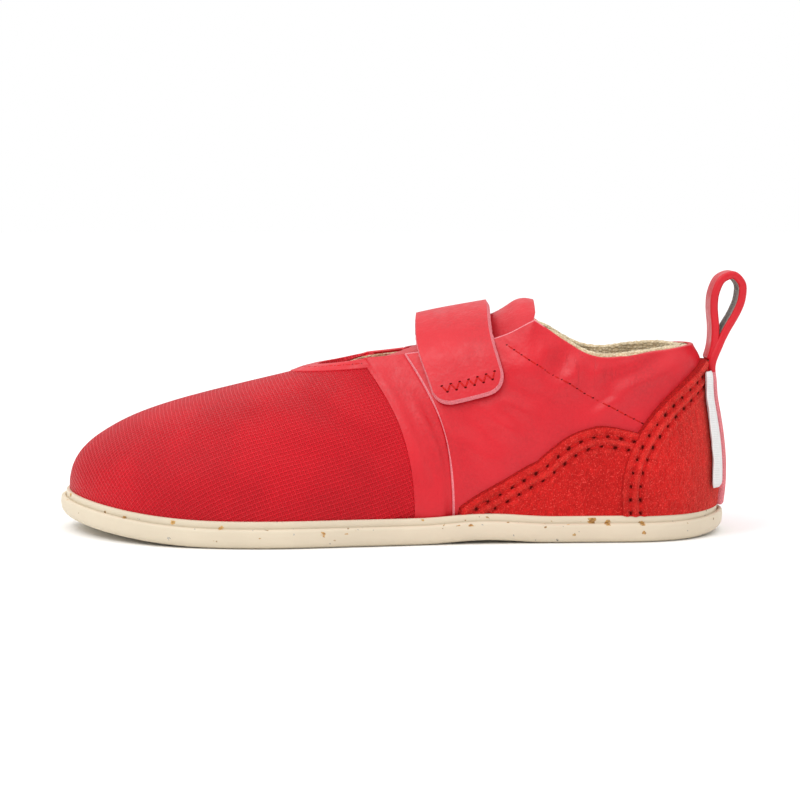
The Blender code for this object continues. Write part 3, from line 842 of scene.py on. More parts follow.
class Finish:
    """One material, built node by node."""

    def __init__(self, name, **sockets):
        self.material = bpy.data.materials.new(name)
        self.material.use_nodes = True
        self.tree = self.material.node_tree
        self.shader = self.tree.nodes["Principled BSDF"]
        self.object = None
        for socket, value in sockets.items():
            self.shader.inputs[socket.replace("_", " ")].default_value = value

    def node(self, kind, inputs=(), output=0, **settings):
        made = self.tree.nodes.new(kind)
        for key, value in settings.items():
            setattr(made, key, value)
        for key, value in dict(inputs).items():
            self.feed(made.inputs[key], value)
        return made.outputs[output]

    def feed(self, socket, value):
        if isinstance(value, bpy.types.NodeSocket):
            self.tree.links.new(value, socket)
        else:
            socket.default_value = value

    def coordinates(self):
        if self.object is None:
            self.object = self.node("ShaderNodeTexCoord", output="Object")
        return self.object

    def uv(self):
        return self.node("ShaderNodeUVMap", uv_map="UVMap")

    def split(self, vector):
        return self.node("ShaderNodeSeparateXYZ", {0: vector}).node.outputs

    def scaled(self, vector, scale):
        return self.node("ShaderNodeVectorMath", {0: vector, "Scale": scale}, operation="SCALE")

    def combined(self, operation, a, b):
        return self.node("ShaderNodeVectorMath", {0: a, 1: b}, operation=operation)

    def noise(self, scale, detail=2.0, vector=None, rough=0.5, output=0):
        return self.node("ShaderNodeTexNoise", {
            "Vector": vector or self.coordinates(), "Scale": scale, "Detail": detail, "Roughness": rough},
            output=output)

    def cells(self, scale, output="Distance", vector=None, feature="F1", chance=1.0):
        return self.node("ShaderNodeTexVoronoi", {
            "Vector": vector or self.coordinates(), "Scale": scale, "Randomness": chance},
            output=output, feature=feature)

    def math(self, operation, a, b=0.0):
        return self.node("ShaderNodeMath", {0: a, 1: b}, operation=operation)

    def ramp(self, value, low, high, to_low=0.0, to_high=1.0):
        return self.node("ShaderNodeMapRange", {
            "Value": value, "From Min": low, "From Max": high, "To Min": to_low, "To Max": to_high},
            interpolation_type="SMOOTHSTEP")

    def mix(self, factor, a, b, blend="MIX"):
        return self.node("ShaderNodeMix", {0: factor, 6: a, 7: b}, output=2, data_type="RGBA", blend_type=blend)

    def tint(self, tone, *by):
        return self.mix(1.0, tone, (*by, 1.0), "MULTIPLY")

    def bump(self, height, distance, strength=1.0, under=None):
        inputs = {"Height": height, "Distance": distance, "Strength": strength}
        if under is not None:
            inputs["Normal"] = under
        return self.node("ShaderNodeBump", inputs, output="Normal")

    def set(self, socket, value):
        self.feed(self.shader.inputs[socket], value)


def shade(colour_value, factor):
    return (*[min(c * factor, 1.0) for c in colour_value], 1.0)


def smooth_leather(name, base):
    f = Finish(name, Coat_Weight=0.10, Coat_Roughness=0.34, Specular_IOR_Level=0.34)
    cloud = f.ramp(f.noise(70.0, 4.0), 0.3, 0.7)
    fine = f.ramp(f.noise(1400.0, 3.0), 0.3, 0.75)
    tone = f.mix(cloud, shade(base, 0.88), shade(base, 1.10))
    wrinkle_and_shade = collar_wrinkles(f)
    # Darker along the collar wrinkles: painted shade in the creases.
    tone = f.mix(f.math("MULTIPLY", wrinkle_and_shade, 0.28), f.mix(fine, tone, shade(base, 1.04)), shade(base, 0.55))
    f.set("Base Color", tone)
    f.set("Roughness", f.ramp(f.noise(420.0, 3.0), 0.25, 0.75, 0.36, 0.52))
    pebble = f.cells(1500.0, feature="SMOOTH_F1")
    folds = f.noise(150.0, 5.0, rough=0.62)
    grain = f.bump(f.math("SUBTRACT", 1.0, wrinkle_and_shade), 0.00014, 0.6, f.bump(pebble, 0.00009, 0.55))
    f.set("Normal", f.bump(folds, 0.0009, 0.32, grain))
    return f.material


def collar_wrinkles(f):
    """Fine upright wrinkles below the low point of the collar, as a share from 0 to 1; they bump the leather and darken
    it as painted shade.
    """
    along, _, height = f.split(f.coordinates())
    near = f.math("MULTIPLY", f.ramp(along, 0.038, 0.046), f.ramp(along, 0.066, 0.058))
    near = f.math("MULTIPLY", near, f.ramp(height, 0.034, 0.043))
    upright = f.node("ShaderNodeMapping", {"Vector": f.coordinates(), "Scale": (1.0, 0.5, 0.16)})
    return f.math("MULTIPLY", f.ramp(f.noise(1000.0, 2.0, upright), 0.53, 0.70), near)


def grid_leather(name, base, pitch):
    f = Finish(name, Specular_IOR_Level=0.22)
    waver = f.combined("SUBTRACT", f.noise(500.0, 1.0, output="Color"), (0.5, 0.5, 0.5))
    cell = f.combined("ADD", f.scaled(f.uv(), MM / pitch), f.scaled(waver, 0.22))
    sides = [f.math("ABSOLUTE", f.math("SUBTRACT", f.math("FRACT", side), 0.5)) for side in f.split(cell)[:2]]
    ridge = f.ramp(f.math("MAXIMUM", *sides), 0.27, 0.45)
    knot = f.ramp(f.math("MINIMUM", *sides), 0.27, 0.45)
    height = f.math("ADD", ridge, f.math("MULTIPLY", knot, 0.35))
    cloud = f.ramp(f.noise(60.0, 3.0), 0.3, 0.7)
    tone = f.mix(cloud, shade(base, 0.92), shade(base, 1.08))
    # The pits between the ridges are darker: painted shade in the recesses.
    f.set("Base Color", f.mix(ridge, f.tint(tone, 0.70, 0.36, 0.44), tone))
    f.set("Roughness", f.ramp(ridge, 0.0, 1.0, 0.62, 0.40))
    under = f.bump(f.noise(260.0, 4.0), 0.0004, 0.3)
    f.set("Normal", f.bump(height, 0.00024, 0.9, under))
    return f.material


def suede_nap(name, base):
    f = Finish(name, Roughness=0.95, Sheen_Weight=0.35, Sheen_Roughness=0.45, Specular_IOR_Level=0.1)
    f.shader.inputs["Sheen Tint"].default_value = (1.0, 0.36, 0.26, 1.0)
    brushed = f.node("ShaderNodeMapping", {"Vector": f.coordinates(), "Scale": (1.0, 1.0, 0.55)})
    patch = f.ramp(f.noise(75.0, 5.0, brushed, 0.6), 0.32, 0.68)
    nap = f.ramp(f.noise(2300.0, 3.0, brushed, 0.7), 0.3, 0.72)
    fleck = f.math("MULTIPLY", f.ramp(f.noise(2900.0, 1.0), 0.58, 0.72), 0.7)
    tuft = f.ramp(f.noise(760.0, 3.0, brushed, 0.65), 0.30, 0.70)
    tone = f.mix(patch, shade(base, 0.84), shade(base, 1.08))
    bare = f.math("MULTIPLY", f.math("SUBTRACT", 1.0, tuft), 0.55)
    tone = f.mix(bare, tone, f.tint(tone, 0.72, 0.52, 0.56))
    tone = f.mix(nap, f.tint(tone, 0.74, 0.66, 0.66), tone)
    drawn = f.node("ShaderNodeAttribute", output="Fac", attribute_name="drawn")
    # Painted shade in the troughs drawn in along the seams, and a painted highlight, lighter and more orange, on the
    # swells beside them.
    tone = f.mix(f.ramp(drawn, -0.08, -0.75), tone, f.tint(tone, 0.58, 0.42, 0.46))
    tone = f.mix(f.ramp(drawn, 0.08, 0.8), tone, f.tint(tone, 1.16, 1.9, 1.6))
    f.set("Base Color", f.mix(fleck, tone, (min(base[0] * 1.25, 1.0), base[1] * 4.5, base[2] * 4.0, 1.0)))
    fuzz = f.bump(nap, 0.00022, 0.8)
    f.set("Normal", f.bump(tuft, 0.0004, 0.45, fuzz))
    return f.material


def cut_edge(name, base, spread):
    f = Finish(name, Roughness=0.9, Specular_IOR_Level=0.1)
    fibre = f.ramp(f.noise(2600.0, 3.0), 0.3, 0.7)
    f.set("Base Color", f.mix(fibre, shade(base, 1 - spread), shade(base, 1 + spread)))
    f.set("Normal", f.bump(fibre, 0.00018, 0.8))
    return f.material


def flecked_rubber(name, base):
    """Cream rubber with sparse cork flecks, thickest near the lip of the rim."""
    f = Finish(name, Coat_Weight=0.05, Coat_Roughness=0.5, Specular_IOR_Level=0.4)
    cloud = f.ramp(f.noise(45.0, 4.0), 0.3, 0.7)
    tone = f.mix(cloud, shade(base, 0.95), shade(base, 1.04))
    run = f.split(f.uv())[1]
    lip = f.math("MULTIPLY", f.ramp(run, 4.6, 6.6), f.ramp(run, 9.4, 8.2))
    ragged = f.scaled(f.noise(1100.0, 3.0, output="Color"), 0.0019)
    torn = f.combined("ADD", f.coordinates(), ragged)
    two_tone = f.ramp(f.noise(1500.0, 2.0), 0.42, 0.56)
    for fleck in FLECKS:
        near = f.cells(fleck.scale, "Distance", torn)
        own = f.cells(fleck.scale, "Color", torn)
        luck, own_tone, _ = f.node("ShaderNodeSeparateColor", {"Color": own}).node.outputs
        wanted = f.math("SUBTRACT", fleck.rare, f.math("MULTIPLY", lip, fleck.near_lip))
        shape = f.ramp(near, fleck.size, fleck.size * 0.7)
        spot = f.math("MULTIPLY", f.math("GREATER_THAN", luck, wanted), shape)
        shift = f.math("ADD", f.math("MULTIPLY", own_tone, 0.45), f.math("MULTIPLY", two_tone, 0.55))
        tone = f.mix(spot, tone, f.mix(shift, (*fleck.dark, 1.0), (*fleck.light, 1.0)))
    f.set("Base Color", tone)
    f.set("Roughness", f.ramp(f.noise(300.0, 3.0), 0.3, 0.7, 0.50, 0.64))
    f.set("Normal", f.bump(f.noise(900.0, 3.0), 0.00012, 0.5))
    return f.material


def knitted_cloth(name, base):
    f = Finish(name, Roughness=0.95, Sheen_Weight=0.3)
    loops = f.cells(1250.0, "Distance", chance=0.55)
    soft = f.ramp(f.noise(420.0, 4.0), 0.3, 0.7)
    tone = f.mix(soft, shade(base, 0.88), shade(base, 1.08))
    # Darker and browner between the loops, where the bump is low: painted shade in the gaps.
    f.set("Base Color", f.mix(f.ramp(loops, 0.15, 0.75), tone, f.tint(tone, 0.80, 0.74, 0.64)))
    f.set("Normal", f.bump(f.math("SUBTRACT", 1.0, loops), 0.00045, 0.9))
    return f.material


def woven_tape(name, base):
    f = Finish(name, Roughness=0.8, Sheen_Weight=0.2)
    threads = [f.node("ShaderNodeTexWave", {"Vector": f.uv(), "Scale": scale, "Distortion": 0.4, "Detail": 1.0},
                      output="Fac", wave_type="BANDS", bands_direction=way) for way, scale in (("Y", 0.55), ("X", 0.8))]
    weave = f.math("MULTIPLY", *threads)
    # Darker where the weave's bump is low: painted shade between the threads.
    f.set("Base Color", f.mix(weave, shade(base, 0.90), shade(base, 1.04)))
    f.set("Normal", f.bump(weave, 0.00014, 0.7))
    return f.material


def twisted_thread(name, base):
    f = Finish(name, Specular_IOR_Level=0.12)
    twist = f.noise(2800.0, 2.0)
    f.set("Base Color", f.mix(f.ramp(twist, 0.3, 0.7), shade(base, 0.75), shade(base, 1.2)))
    f.set("Roughness", f.ramp(twist, 0.3, 0.7, 0.7, 0.9))
    f.set("Normal", f.bump(twist, 0.00012, 0.7))
    return f.material


# Near-black for the beads set in the stitch holes: painted shade inside the holes.
def painted_pinhole_shade(name, base):
    f = Finish(name, Roughness=0.95, Specular_IOR_Level=0.05)
    f.set("Base Color", f.mix(f.noise(900.0, 1.0), shade(base, 0.10), shade(base, 0.24)))
    return f.material


def studio_floor(name, base):
    f = Finish(name, Roughness=1.0, Specular_IOR_Level=0.0)
    f.set("Base Color", f.mix(f.noise(3.0, 2.0), shade(base, 0.995), shade(base, 1.005)))
    return f.material


def finishes():
    """All materials of the shoe, made once and kept by name."""
    if not FINISHES:
        c = bpy.context.scene.shoe_colours
        s = bpy.context.scene.shoe_sizes
        FINISHES.update(
            leather=smooth_leather("smooth_red_leather", c.leather),
            vamp=grid_leather("grid_red_leather", c.vamp, s.weave_pitch),
            suede=suede_nap("red_suede", c.suede),
            # The suede's cut edge takes half the suede's colour: painted shade on the edge.
            suede_edge=cut_edge("suede_cut_edge", [v * 0.50 for v in c.suede], 0.35),
            raw_edge=cut_edge("pink_cut_edge", c.raw_edge, 0.14),
            rubber=flecked_rubber("flecked_cream_rubber", c.rubber),
            lining=knitted_cloth("cream_lining", c.lining),
            loop_lining=knitted_cloth("grey_loop_lining", c.loop_lining),
            tape=woven_tape("white_tape", c.tape),
            thread=twisted_thread("red_thread", c.thread),
            pinhole=painted_pinhole_shade("pinhole", c.thread),
        )
    return FINISHES


FINISHES = {}


# Places of the pieces, shared by panels and stitches

def binding_place(row, share):
    """Narrow band round the throat, on the vamp."""
    r = 1 - (1 - share) * BINDING_WIDTH / WALL_LENGTH
    rolled = 0.3 * (fade(1 - share, 0.6, 1.0) + fade(share, 0.7, 1.0))
    return skin(row, r, BINDING_FACE - rolled)


def counter_edge():
    """Counter's edge from the sole at the front of one side to the top of the back, evenly spaced along it."""
    height = np.linspace(COUNTER_ROWS[0].height, COUNTER_ROWS[-1].height, 400)
    reach = table_curve(COUNTER_ROWS, "height", "reach", height)
    reach[-1] = 0.0
    run = run_of(points(height, reach))
    share = np.linspace(0.0, 1.0, 121)
    height, reach = (np.interp(share * run[-1], run, values) for values in (height, reach))
    return share, row_at(reach, -1), height


EDGE_SHARE, EDGE_ROW, EDGE_HEIGHT = counter_edge()


def counter_place(turn, rho):
    """Counter as a half disc: turn runs along its edge from outer front over the back to inner front, rho outwards."""
    share = 1 - np.abs(turn)
    row = np.interp(share, EDGE_SHARE, EDGE_ROW) * rho * np.where(turn < 0, 1.0, -1.0)
    height = np.interp(share, EDGE_SHARE, EDGE_HEIGHT) * rho
    return skin(row, r_at(row, overlay_base(row) + height), COUNTER_FACE - 0.35 * fade(rho, 0.978, 1.0))


def overlay_place(side):
    """Function that places one side's wing by the distance from the heel and the share of its height."""
    def place(distance, share):
        row = row_at(distance, side)
        full = table_curve(OVERLAY_ROWS, "from_heel", "height", distance)
        rolled = 0.3 * fade(full * (share - 1), -0.7, 0.0)
        return skin(row, r_at(row, overlay_base(row) + full * share), OVERLAY_FACE - rolled)

    return place


def strap_half_span(row):
    """Half the strap's length over the throat, from top line to top line."""
    return np.linalg.norm(top_line(row) - top_line(ROUND - row), axis=-1) * STRAP_ARCH_LENGTH / 2


def strap_point(across, way):
    """Across runs over the strap's width; way from its outer end, over the throat, to its inner end."""
    middle = np.full_like(way, STRAP_MIDDLE)
    beyond = np.maximum(np.abs(way) - strap_half_span(middle), 0.0)
    depth = np.maximum(1 - beyond / WALL_LENGTH, 0.0)
    pitch = np.linalg.norm(wall(middle + 0.5, depth) - wall(middle - 0.5, depth), axis=-1)
    row = middle + across * STRAP_WIDTH / pitch
    half = strap_half_span(row)
    outer, inner = top_line(row), top_line(ROUND - row)
    share = np.clip(way / half, -1.0, 1.0)
    over = outer + (inner - outer) * ((share + 1) / 2)[..., None]
    over[..., 2] += STRAP_ARCH * (1 - share ** 2)
    on = wall(np.where(way < 0, row, ROUND - row), 1 - np.maximum(np.abs(way) - half, 0.0) / WALL_LENGTH)
    return np.where((np.abs(way) <= half)[..., None], over, on)


def strap_line(across, way):
    """The strap's path with its bends at the top line eased over a few millimetres."""
    return eased(lambda shift: strap_point(across, way + shift), STRAP_EASE)


def strap_ends(across):
    """Where the strap starts and ends at this place of its width, with the corners of its free end rounded."""
    half = float(strap_half_span(np.array(STRAP_MIDDLE)))
    to_edge = (0.5 - np.abs(across)) * STRAP_WIDTH
    short = np.clip(STRAP_CORNER - to_edge, 0.0, STRAP_CORNER)
    corner = STRAP_CORNER - np.sqrt(STRAP_CORNER ** 2 - short ** 2)
    return corner - half - STRAP_REACH_OUTER, half + STRAP_REACH_INNER


def strap_place(across, share):
    """Outer face of the strap, a little crowned across its width."""
    start, end = strap_ends(across)
    way = start + (end - start) * share
    along_way = strap_line(across, way + 0.3) - strap_line(across, way - 0.3)
    along_row = strap_line(across - 0.02, way) - strap_line(across + 0.02, way)
    face = STRAP_FACE + STRAP_CROWN * (1 - (2 * across) ** 2)
    return strap_line(across, way) + unit(np.cross(along_row, along_way)) * face[..., None]


def tongue_place(along, across):
    """Tongue seen along the shoe: its crest, and its sides drooping from it to a rounded tip."""
    crest, half, droop = (table_curve(TONGUE_ROWS[::-1], "along", column, along)
                          for column in ("crest", "half_width", "droop"))
    top = TONGUE_ROWS[-1].along
    from_tip = (along - top) * LENGTH
    short = np.clip(1 - from_tip / TONGUE_CORNER, 0.0, 1.0)
    kept = 1 - TONGUE_CORNER / half * (1 - np.sqrt(np.maximum(1 - short ** 2, 0.0)))
    pad = TONGUE_PAD * np.sin(np.clip((along - top) / TONGUE_PAD_END, 0.0, 1.0) * np.pi)
    roll = TONGUE_ROLL * np.clip(1 - from_tip / TONGUE_ROLL_LENGTH, 0.0, 1.0) ** 2
    height = crest - droop * (kept * across) ** 2 + pad * (1 - across ** 2) - roll
    return points(LENGTH * (0.5 - along), instep_shift(along) + half * kept * across, height)


def strip_row(across):
    """Section number at this distance from the heel's centre line; the outer side is negative."""
    row = halved(np.zeros_like(across), np.full_like(across, 2.0),
                 lambda row: np.abs(wall(row, 0.5)[..., 1]) < np.abs(across), 28)
    return np.where(across < 0, row, -row)


def band_profile():
    """Outer face of the heel band at its centre line: up the back, then round the loop, as run, x and z."""
    heights = np.linspace(float(overlay_base(np.array(0.0))), STRIP_TOP - 3.0, STRIP_KNOTS)
    back = skin(0.0, r_at(0.0, heights), BAND_FACE)
    base = skin(0.0, r_at(0.0, STRIP_TOP), LOOP_OFFSET)
    lean = math.radians(LOOP_LEAN)
    loop = np.array([
        (base[0] + p.out * math.cos(lean) + p.up * math.sin(lean), 0.0,
         STRIP_TOP + LOOP_LIFT - p.out * math.sin(lean) + p.up * math.cos(lean)) for p in LOOP_POINTS])
    line = np.concatenate([back, loop])
    return run_of(line), line[:, 0], line[:, 2]


BAND_RUN, BAND_X, BAND_Z = band_profile()


def band_place(across, run):
    """Band at this share of its half width: it wraps the heel's round and goes flat into the loop."""
    x, z = curve_through(BAND_RUN, BAND_X, run), curve_through(BAND_RUN, BAND_Z, run)
    up_strip = BAND_RUN[STRIP_KNOTS - 1]
    half = STRIP_HALF_WIDTH + (LOOP_HALF_WIDTH - STRIP_HALF_WIDTH) * fade(run, up_strip - 3.0, up_strip + 8.0)
    y = across * half
    row, centre = strip_row(y), np.zeros_like(y)
    height = np.minimum(z, STRIP_TOP)
    sag = wall(row, r_at(row, height))[..., 0] - wall(centre, r_at(centre, height))[..., 0]
    return points(x + sag * STRIP_WRAP * (1 - fade(run, up_strip - 4.0, up_strip + 5.0)), y, z)


def label_place(around, share):
    """Folded tape: around runs out on the lower leaf, round the fold and back on the upper leaf."""
    out = np.where(around < 0.5, around * 2, 2 - around * 2)
    leaf = fade(around, 0.40, 0.60)
    end = np.clip(np.minimum(share, 1 - share) / 0.04, 0.0, 1.0)
    closed = np.sqrt(1 - (1 - end) ** 2)
    wavy = 0.09 * np.sin(share * 17.0) + 0.03 * np.sin(share * 41.0 + 1.0)
    width = LABEL_WIDTH + wavy - 0.8 * (1 - closed)
    row = strip_row(-STRIP_HALF_WIDTH - LABEL_CLEAR - width * out)
    puffed = 0.55 + 1.0 * fade(out, 0.1, 0.85) + 0.12 * np.sin(share * 27.0 + 2.0) * out
    stand = COUNTER_FACE + 0.25 + 0.3 * out ** 2 + leaf * puffed * (0.35 + 0.65 * closed)
    return skin(row, r_at(row, LABEL_BOTTOM + LABEL_LENGTH * share), stand)


# Operators

class SHOE_OT_sole(bpy.types.Operator):
    """Cream rubber sole with a rounded rim and a set-back step, and the flat insole"""
    bl_idname = "shoe.sole"
    bl_label = "Sole"

    def execute(self, context):
        f = finishes()
        inner = LEDGE + STEP_WALL
        profile = [("spine", 0.0), (9.0, 0.0), (5.0, 0.0), (TREAD_ROUND + 0.6, 0.0), (TREAD_ROUND, 0.0)]
        for turn in range(15, 91, 15):
            sine, cosine = math.sin(math.radians(turn)), math.cos(math.radians(turn))
            profile.append((TREAD_ROUND * (1 - sine) - RIM_SWELL * sine, TREAD_ROUND * (1 - cosine)))
        profile += [(-0.2, 2.9), (-0.18, 3.5)]
        for turn in range(0, 91, 15):
            sine, cosine = math.sin(math.radians(turn)), math.cos(math.radians(turn))
            profile.append((LIP_ROUND * (1 - cosine) - RIM_SWELL * cosine, RIM_HEIGHT - LIP_ROUND * (1 - sine)))
        step_top = RIM_HEIGHT + STEP_HEIGHT
        profile += [
            (LEDGE - 0.05, RIM_HEIGHT - 0.06), (LEDGE, RIM_HEIGHT - 0.3), (LEDGE + 0.14, RIM_HEIGHT - 0.42),
            (LEDGE + 0.26, RIM_HEIGHT - 0.2), (LEDGE + 0.22, RIM_HEIGHT + 0.2), (LEDGE + 0.22, step_top - 0.4),
            (LEDGE + 0.34, step_top - 0.12), (LEDGE + 0.6, step_top), (inner - 0.25, step_top),
            (inner, step_top - 0.3), (inner, FLOOR_HEIGHT), ("spine", FLOOR_HEIGHT)]
        item = self.ring("sole", profile, TREAD_ROUND, inner, 300, f["rubber"])
        dress(item, "cream_rubber", "outsole")
        edge = UPPER_INSET + WALL + 3 * GAP
        low = FLOOR_HEIGHT + GAP
        high = low + INSOLE_THICKNESS
        profile = [
            ("spine", low), (edge, low), (edge - 0.1, low + 0.8), (edge, high - 0.7), (edge + 0.25, high - 0.2),
            (edge + 0.8, high), (edge + 3.0, high + 0.1), (edge + 8.0, high - 0.1), ("spine", high - 0.1)]
        item = self.ring("insole_cloth", profile, edge, edge + 8.0, 160, f["lining"])
        dress(item, "cream_cloth", "insole")
        return {"FINISHED"}

    def ring(self, name, profile, low_inset, high_inset, columns, finish):
        """A profile of insets and heights taken round the outline, closed along the middle of the sole."""
        insets = np.array([np.nan if inset == "spine" else inset for inset, height in profile])
        heights = np.array([height for inset, height in profile])

        def place(angle, step):
            step = step.astype(int)
            inset, height = insets[step], heights[step]
            on_spine = np.isnan(inset)
            middle = spine_point(angle, np.where(step == 0, low_inset, high_inset))
            rim = edge_point(angle, np.where(on_spine, 0.0, inset))
            spot = np.where(on_spine[..., None], middle, rim)
            spot[..., 2] = lift(spot[..., 0]) + height
            return spot

        item = grid(name, np.linspace(0.0, 360.0, columns + 1), np.arange(len(profile)), place, [finish])
        self.rim_map(item, columns, profile)
        weld(item)
        smooth_shading(item, 40.0)
        return item

    def rim_map(self, item, columns, profile):
        """The map's second coordinate is the run of the profile from the tread's edge, even all the way round."""
        layer = item.data.uv_layers["UVMap"].data
        flat = read(layer, "uv", 2)
        step = read(item.data.loops, "vertex_index", kind=int) // (columns + 1)
        run = run_of(np.array(profile[1:-1]))
        run = np.concatenate([[0.0], run, [run[-1] + 10.0]])
        flat[:, 1] = run[step] - run[4]
        layer.foreach_set("uv", flat.ravel())


class SHOE_OT_upper(bpy.types.Operator):
    """Vamp with its raised grid, saddle, smooth quarters, throat binding and cloth lining"""
    bl_idname = "shoe.upper"
    bl_label = "Upper"

    def execute(self, context):
        f, s = finishes(), context.scene.shoe_sizes
        rising = stretches((0.0, 0.94, 48), (0.955, 1.0, 5))
        edge = QUARTER_FRONT + QUARTER_LAP
        quarters = panel("quarters", rows_between(-edge, edge, 0.055), rising, skin,
                         [f["leather"], f["raw_edge"]], s.leather, s.rounding, rim=1, lean=0.5)
        collar = float(top_line(np.array(EAR - 0.15))[0]) * MM
        for polygon in quarters.data.polygons:
            if polygon.center.x > collar:
                polygon.material_index = 0  # no pale edge at the collar
        dress(quarters, "red_textured_leather", "upper")
        for name, start, end in (("saddle_outer", edge - 0.2, SADDLE_FRONT),
                                 ("saddle_inner", ROUND - SADDLE_FRONT, ROUND - edge + 0.2)):
            saddle = panel(name, rows_between(float(start), float(end), 0.04), rising, self.saddle_place,
                           [f["leather"]], s.leather * 0.8, s.rounding * 1.3)
            dress(saddle, "red_textured_leather", "upper")
        self.vamp(f, s, rising)
        self.binding(f, s)
        self.lining(f)
        return {"FINISHED"}

    def saddle_place(self, row, r):
        """Band between quarter and vamp: under the quarter at its rear, rolled down to the vamp at its front."""
        place = from_heel(row)
        roll = SADDLE_ROLL * fade(place, SADDLE_FRONT - 0.16, SADDLE_FRONT)
        hidden = 0.8 * (1 - fade(place - QUARTER_LAP, QUARTER_FRONT - 0.04, QUARTER_FRONT + 0.03))
        return skin(row, r, SADDLE_FACE - roll - hidden + self.flare(place, r))

    def vamp_place(self, row, r):
        """Vamp: set back under the saddle's edge, and full at its foot further forward."""
        place = from_heel(row)
        hidden = 0.3 * (1 - fade(place, SADDLE_FRONT - 0.1, SADDLE_FRONT + 0.03))
        under = 1 - fade(place, SADDLE_FRONT - 0.02, SADDLE_FRONT + 0.4)
        back = VAMP_FACE * np.maximum(fade(r, 0.0, 0.42), under)
        return skin(row, r, back - hidden + self.flare(place, r))

    def flare(self, place, r):
        """Spreads the foot of the wall out to the step of the sole, in front of the quarters."""
        front = QUARTER_FRONT + QUARTER_LAP
        return BASE_FLARE * (1 - fade(r, 0.02, 0.42)) * fade(place, front + 0.03, front + 0.4)

    def vamp(self, f, s, rising):
        rising = np.concatenate([stretches((0.0, 0.04, 3), (0.05, 0.12, 10)), rising[rising > 0.13]])
        rows = rows_between(SADDLE_FRONT - 0.25, ROUND - SADDLE_FRONT + 0.25, 0.05)
        item = grid("vamp", rows, rising, self.vamp_place, [f["vamp"]])
        face_outwards(item)
        self.lay_flat(item)
        apply_modifier(item, "SOLIDIFY", thickness=s.leather, offset=-1.0, use_even_offset=True)
        smooth_shading(item)
        dress(item, "red_textured_leather", "upper")

    def lay_flat(self, item):
        """Unwraps the vamp like a cut piece and scales its map to millimetres, the grid along the shoe."""
        in_edit_mode(item, (bpy.ops.uv.unwrap, {"method": "MINIMUM_STRETCH", "iterations": 30, "margin": 0.0}))
        mesh = item.data
        place = read(mesh.vertices, "co", 3)[read(mesh.loops, "vertex_index", kind=int)] / MM
        layer = mesh.uv_layers["UVMap"].data
        uv = read(layer, "uv", 2)
        edge, flat = place[1:] - place[:-1], uv[1:] - uv[:-1]
        kept = np.arange(len(edge)) % 4 != 3
        scale = np.sum(np.linalg.norm(edge[kept], axis=1)) / np.sum(np.linalg.norm(flat[kept], axis=1))
        top = place[:, 2] > np.quantile(place[:, 2], 0.7)
        level = place[top] - place[top].mean(axis=0)
        turned = uv[top] - uv[top].mean(axis=0)
        slope = np.linalg.lstsq(level[:, :2], turned, rcond=None)[0]
        turn = math.atan2(slope[0, 1], slope[0, 0])
        cosine, sine = math.cos(-turn), math.sin(-turn)
        uv = uv @ np.array([[cosine, sine], [-sine, cosine]]) * scale
        layer.foreach_set("uv", uv.ravel())

    def binding(self, f, s):
        rows = rows_between(SADDLE_FRONT - 0.1, ROUND - SADDLE_FRONT + 0.1, 0.06)
        item = panel("throat_binding", rows, np.linspace(0.0, 1.0, 9), binding_place, [f["leather"]],
                     s.leather * 0.7, s.rounding * 0.8)
        dress(item, "red_textured_leather", "upper")

    def lining_place(self, row, step):
        """Section of the lining: up its outer face, over a soft lip at the collar, down its inner face."""
        place = from_heel(row)
        collar = 1 - fade(place, EAR - 1.2, EAR)
        front = fade(place, QUARTER_FRONT - 0.5, QUARTER_FRONT + 0.1)
        outer = LINING_FACE - LINING_SET_BACK * front
        inner = -WALL - 0.2
        rise, over, down = step, step - 1.0, step - 2.0
        shown = fade(place, 0.3, 1.8) * (1 - fade(place, EAR - 0.45, EAR - 0.02))
        lip = LINING_LIP * shown / WALL_LENGTH
        ragged = LINING_RAGGED / WALL_LENGTH * np.sin(row * 61.0) * np.sin(row * 23.0 + 1.0)
        top = 0.985 + lip + ragged * collar
        turn = np.clip(over, 0.0, 1.0) * np.pi
        lip_r = top + LINING_ROUND / WALL_LENGTH * np.sin(turn)
        r = np.where(step <= 1.0, rise * top, np.where(step <= 2.0, lip_r, (1 - down) * top))
        pad = COLLAR_PAD * collar * fade(r, 0.68, 0.84) * (1 - 0.6 * fade(r, 0.93, 1.0))
        share = np.where(step <= 1.0, 0.0, np.where(step <= 2.0, (1 - np.cos(turn)) / 2, 1.0))
        return skin(row, r, outer + (inner - pad - outer) * share)

    def lining(self, f):
        steps = stretches((0.0, 1.0, 12), (1.125, 2.0, 8), (2.03, 3.0, 30), (0.0, 0.0, 1))
        item = grid("lining", rows_between(0.0, float(ROUND), 0.07), steps, self.lining_place, [f["lining"]])
        weld(item)
        smooth_shading(item, 60.0)
        dress(item, "cream_cloth", "upper")


class SHOE_OT_tongue(bpy.types.Operator):
    """Curved tongue with a cloth underside"""
    bl_idname = "shoe.tongue"
    bl_label = "Tongue"

    def execute(self, context):
        f, s = finishes(), context.scene.shoe_sizes
        top, front = TONGUE_ROWS[-1].along, TONGUE_ROWS[0].along
        along = stretches((front, top + 0.045, 44), (top + 0.04, top, 12))
        item = panel("tongue_flap", along, np.linspace(-1.0, 1.0, 33), tongue_place,
                     [f["leather"], f["lining"]], TONGUE_THICKNESS * MM, s.rounding * 2.8, inner=1)
        dress(item, "red_tongue_leather", "tongue")
        return {"FINISHED"}


class SHOE_OT_strap(bpy.types.Operator):
    """Instep strap with a rounded end and a pale cut edge"""
    bl_idname = "shoe.strap"
    bl_label = "Strap"

    def execute(self, context):
        f, s = finishes(), context.scene.shoe_sizes
        across = 0.5 * np.sin(np.radians(np.linspace(-90.0, 90.0, 29)))
        share = np.linspace(0.0, 1.0, 81)
        item = panel("instep_strap", across, share, strap_place, [f["leather"], f["raw_edge"]],
                     s.strap, 0.0, rim=1, lean=0.6)
        dress(item, "red_strap_leather", "strap")
        return {"FINISHED"}


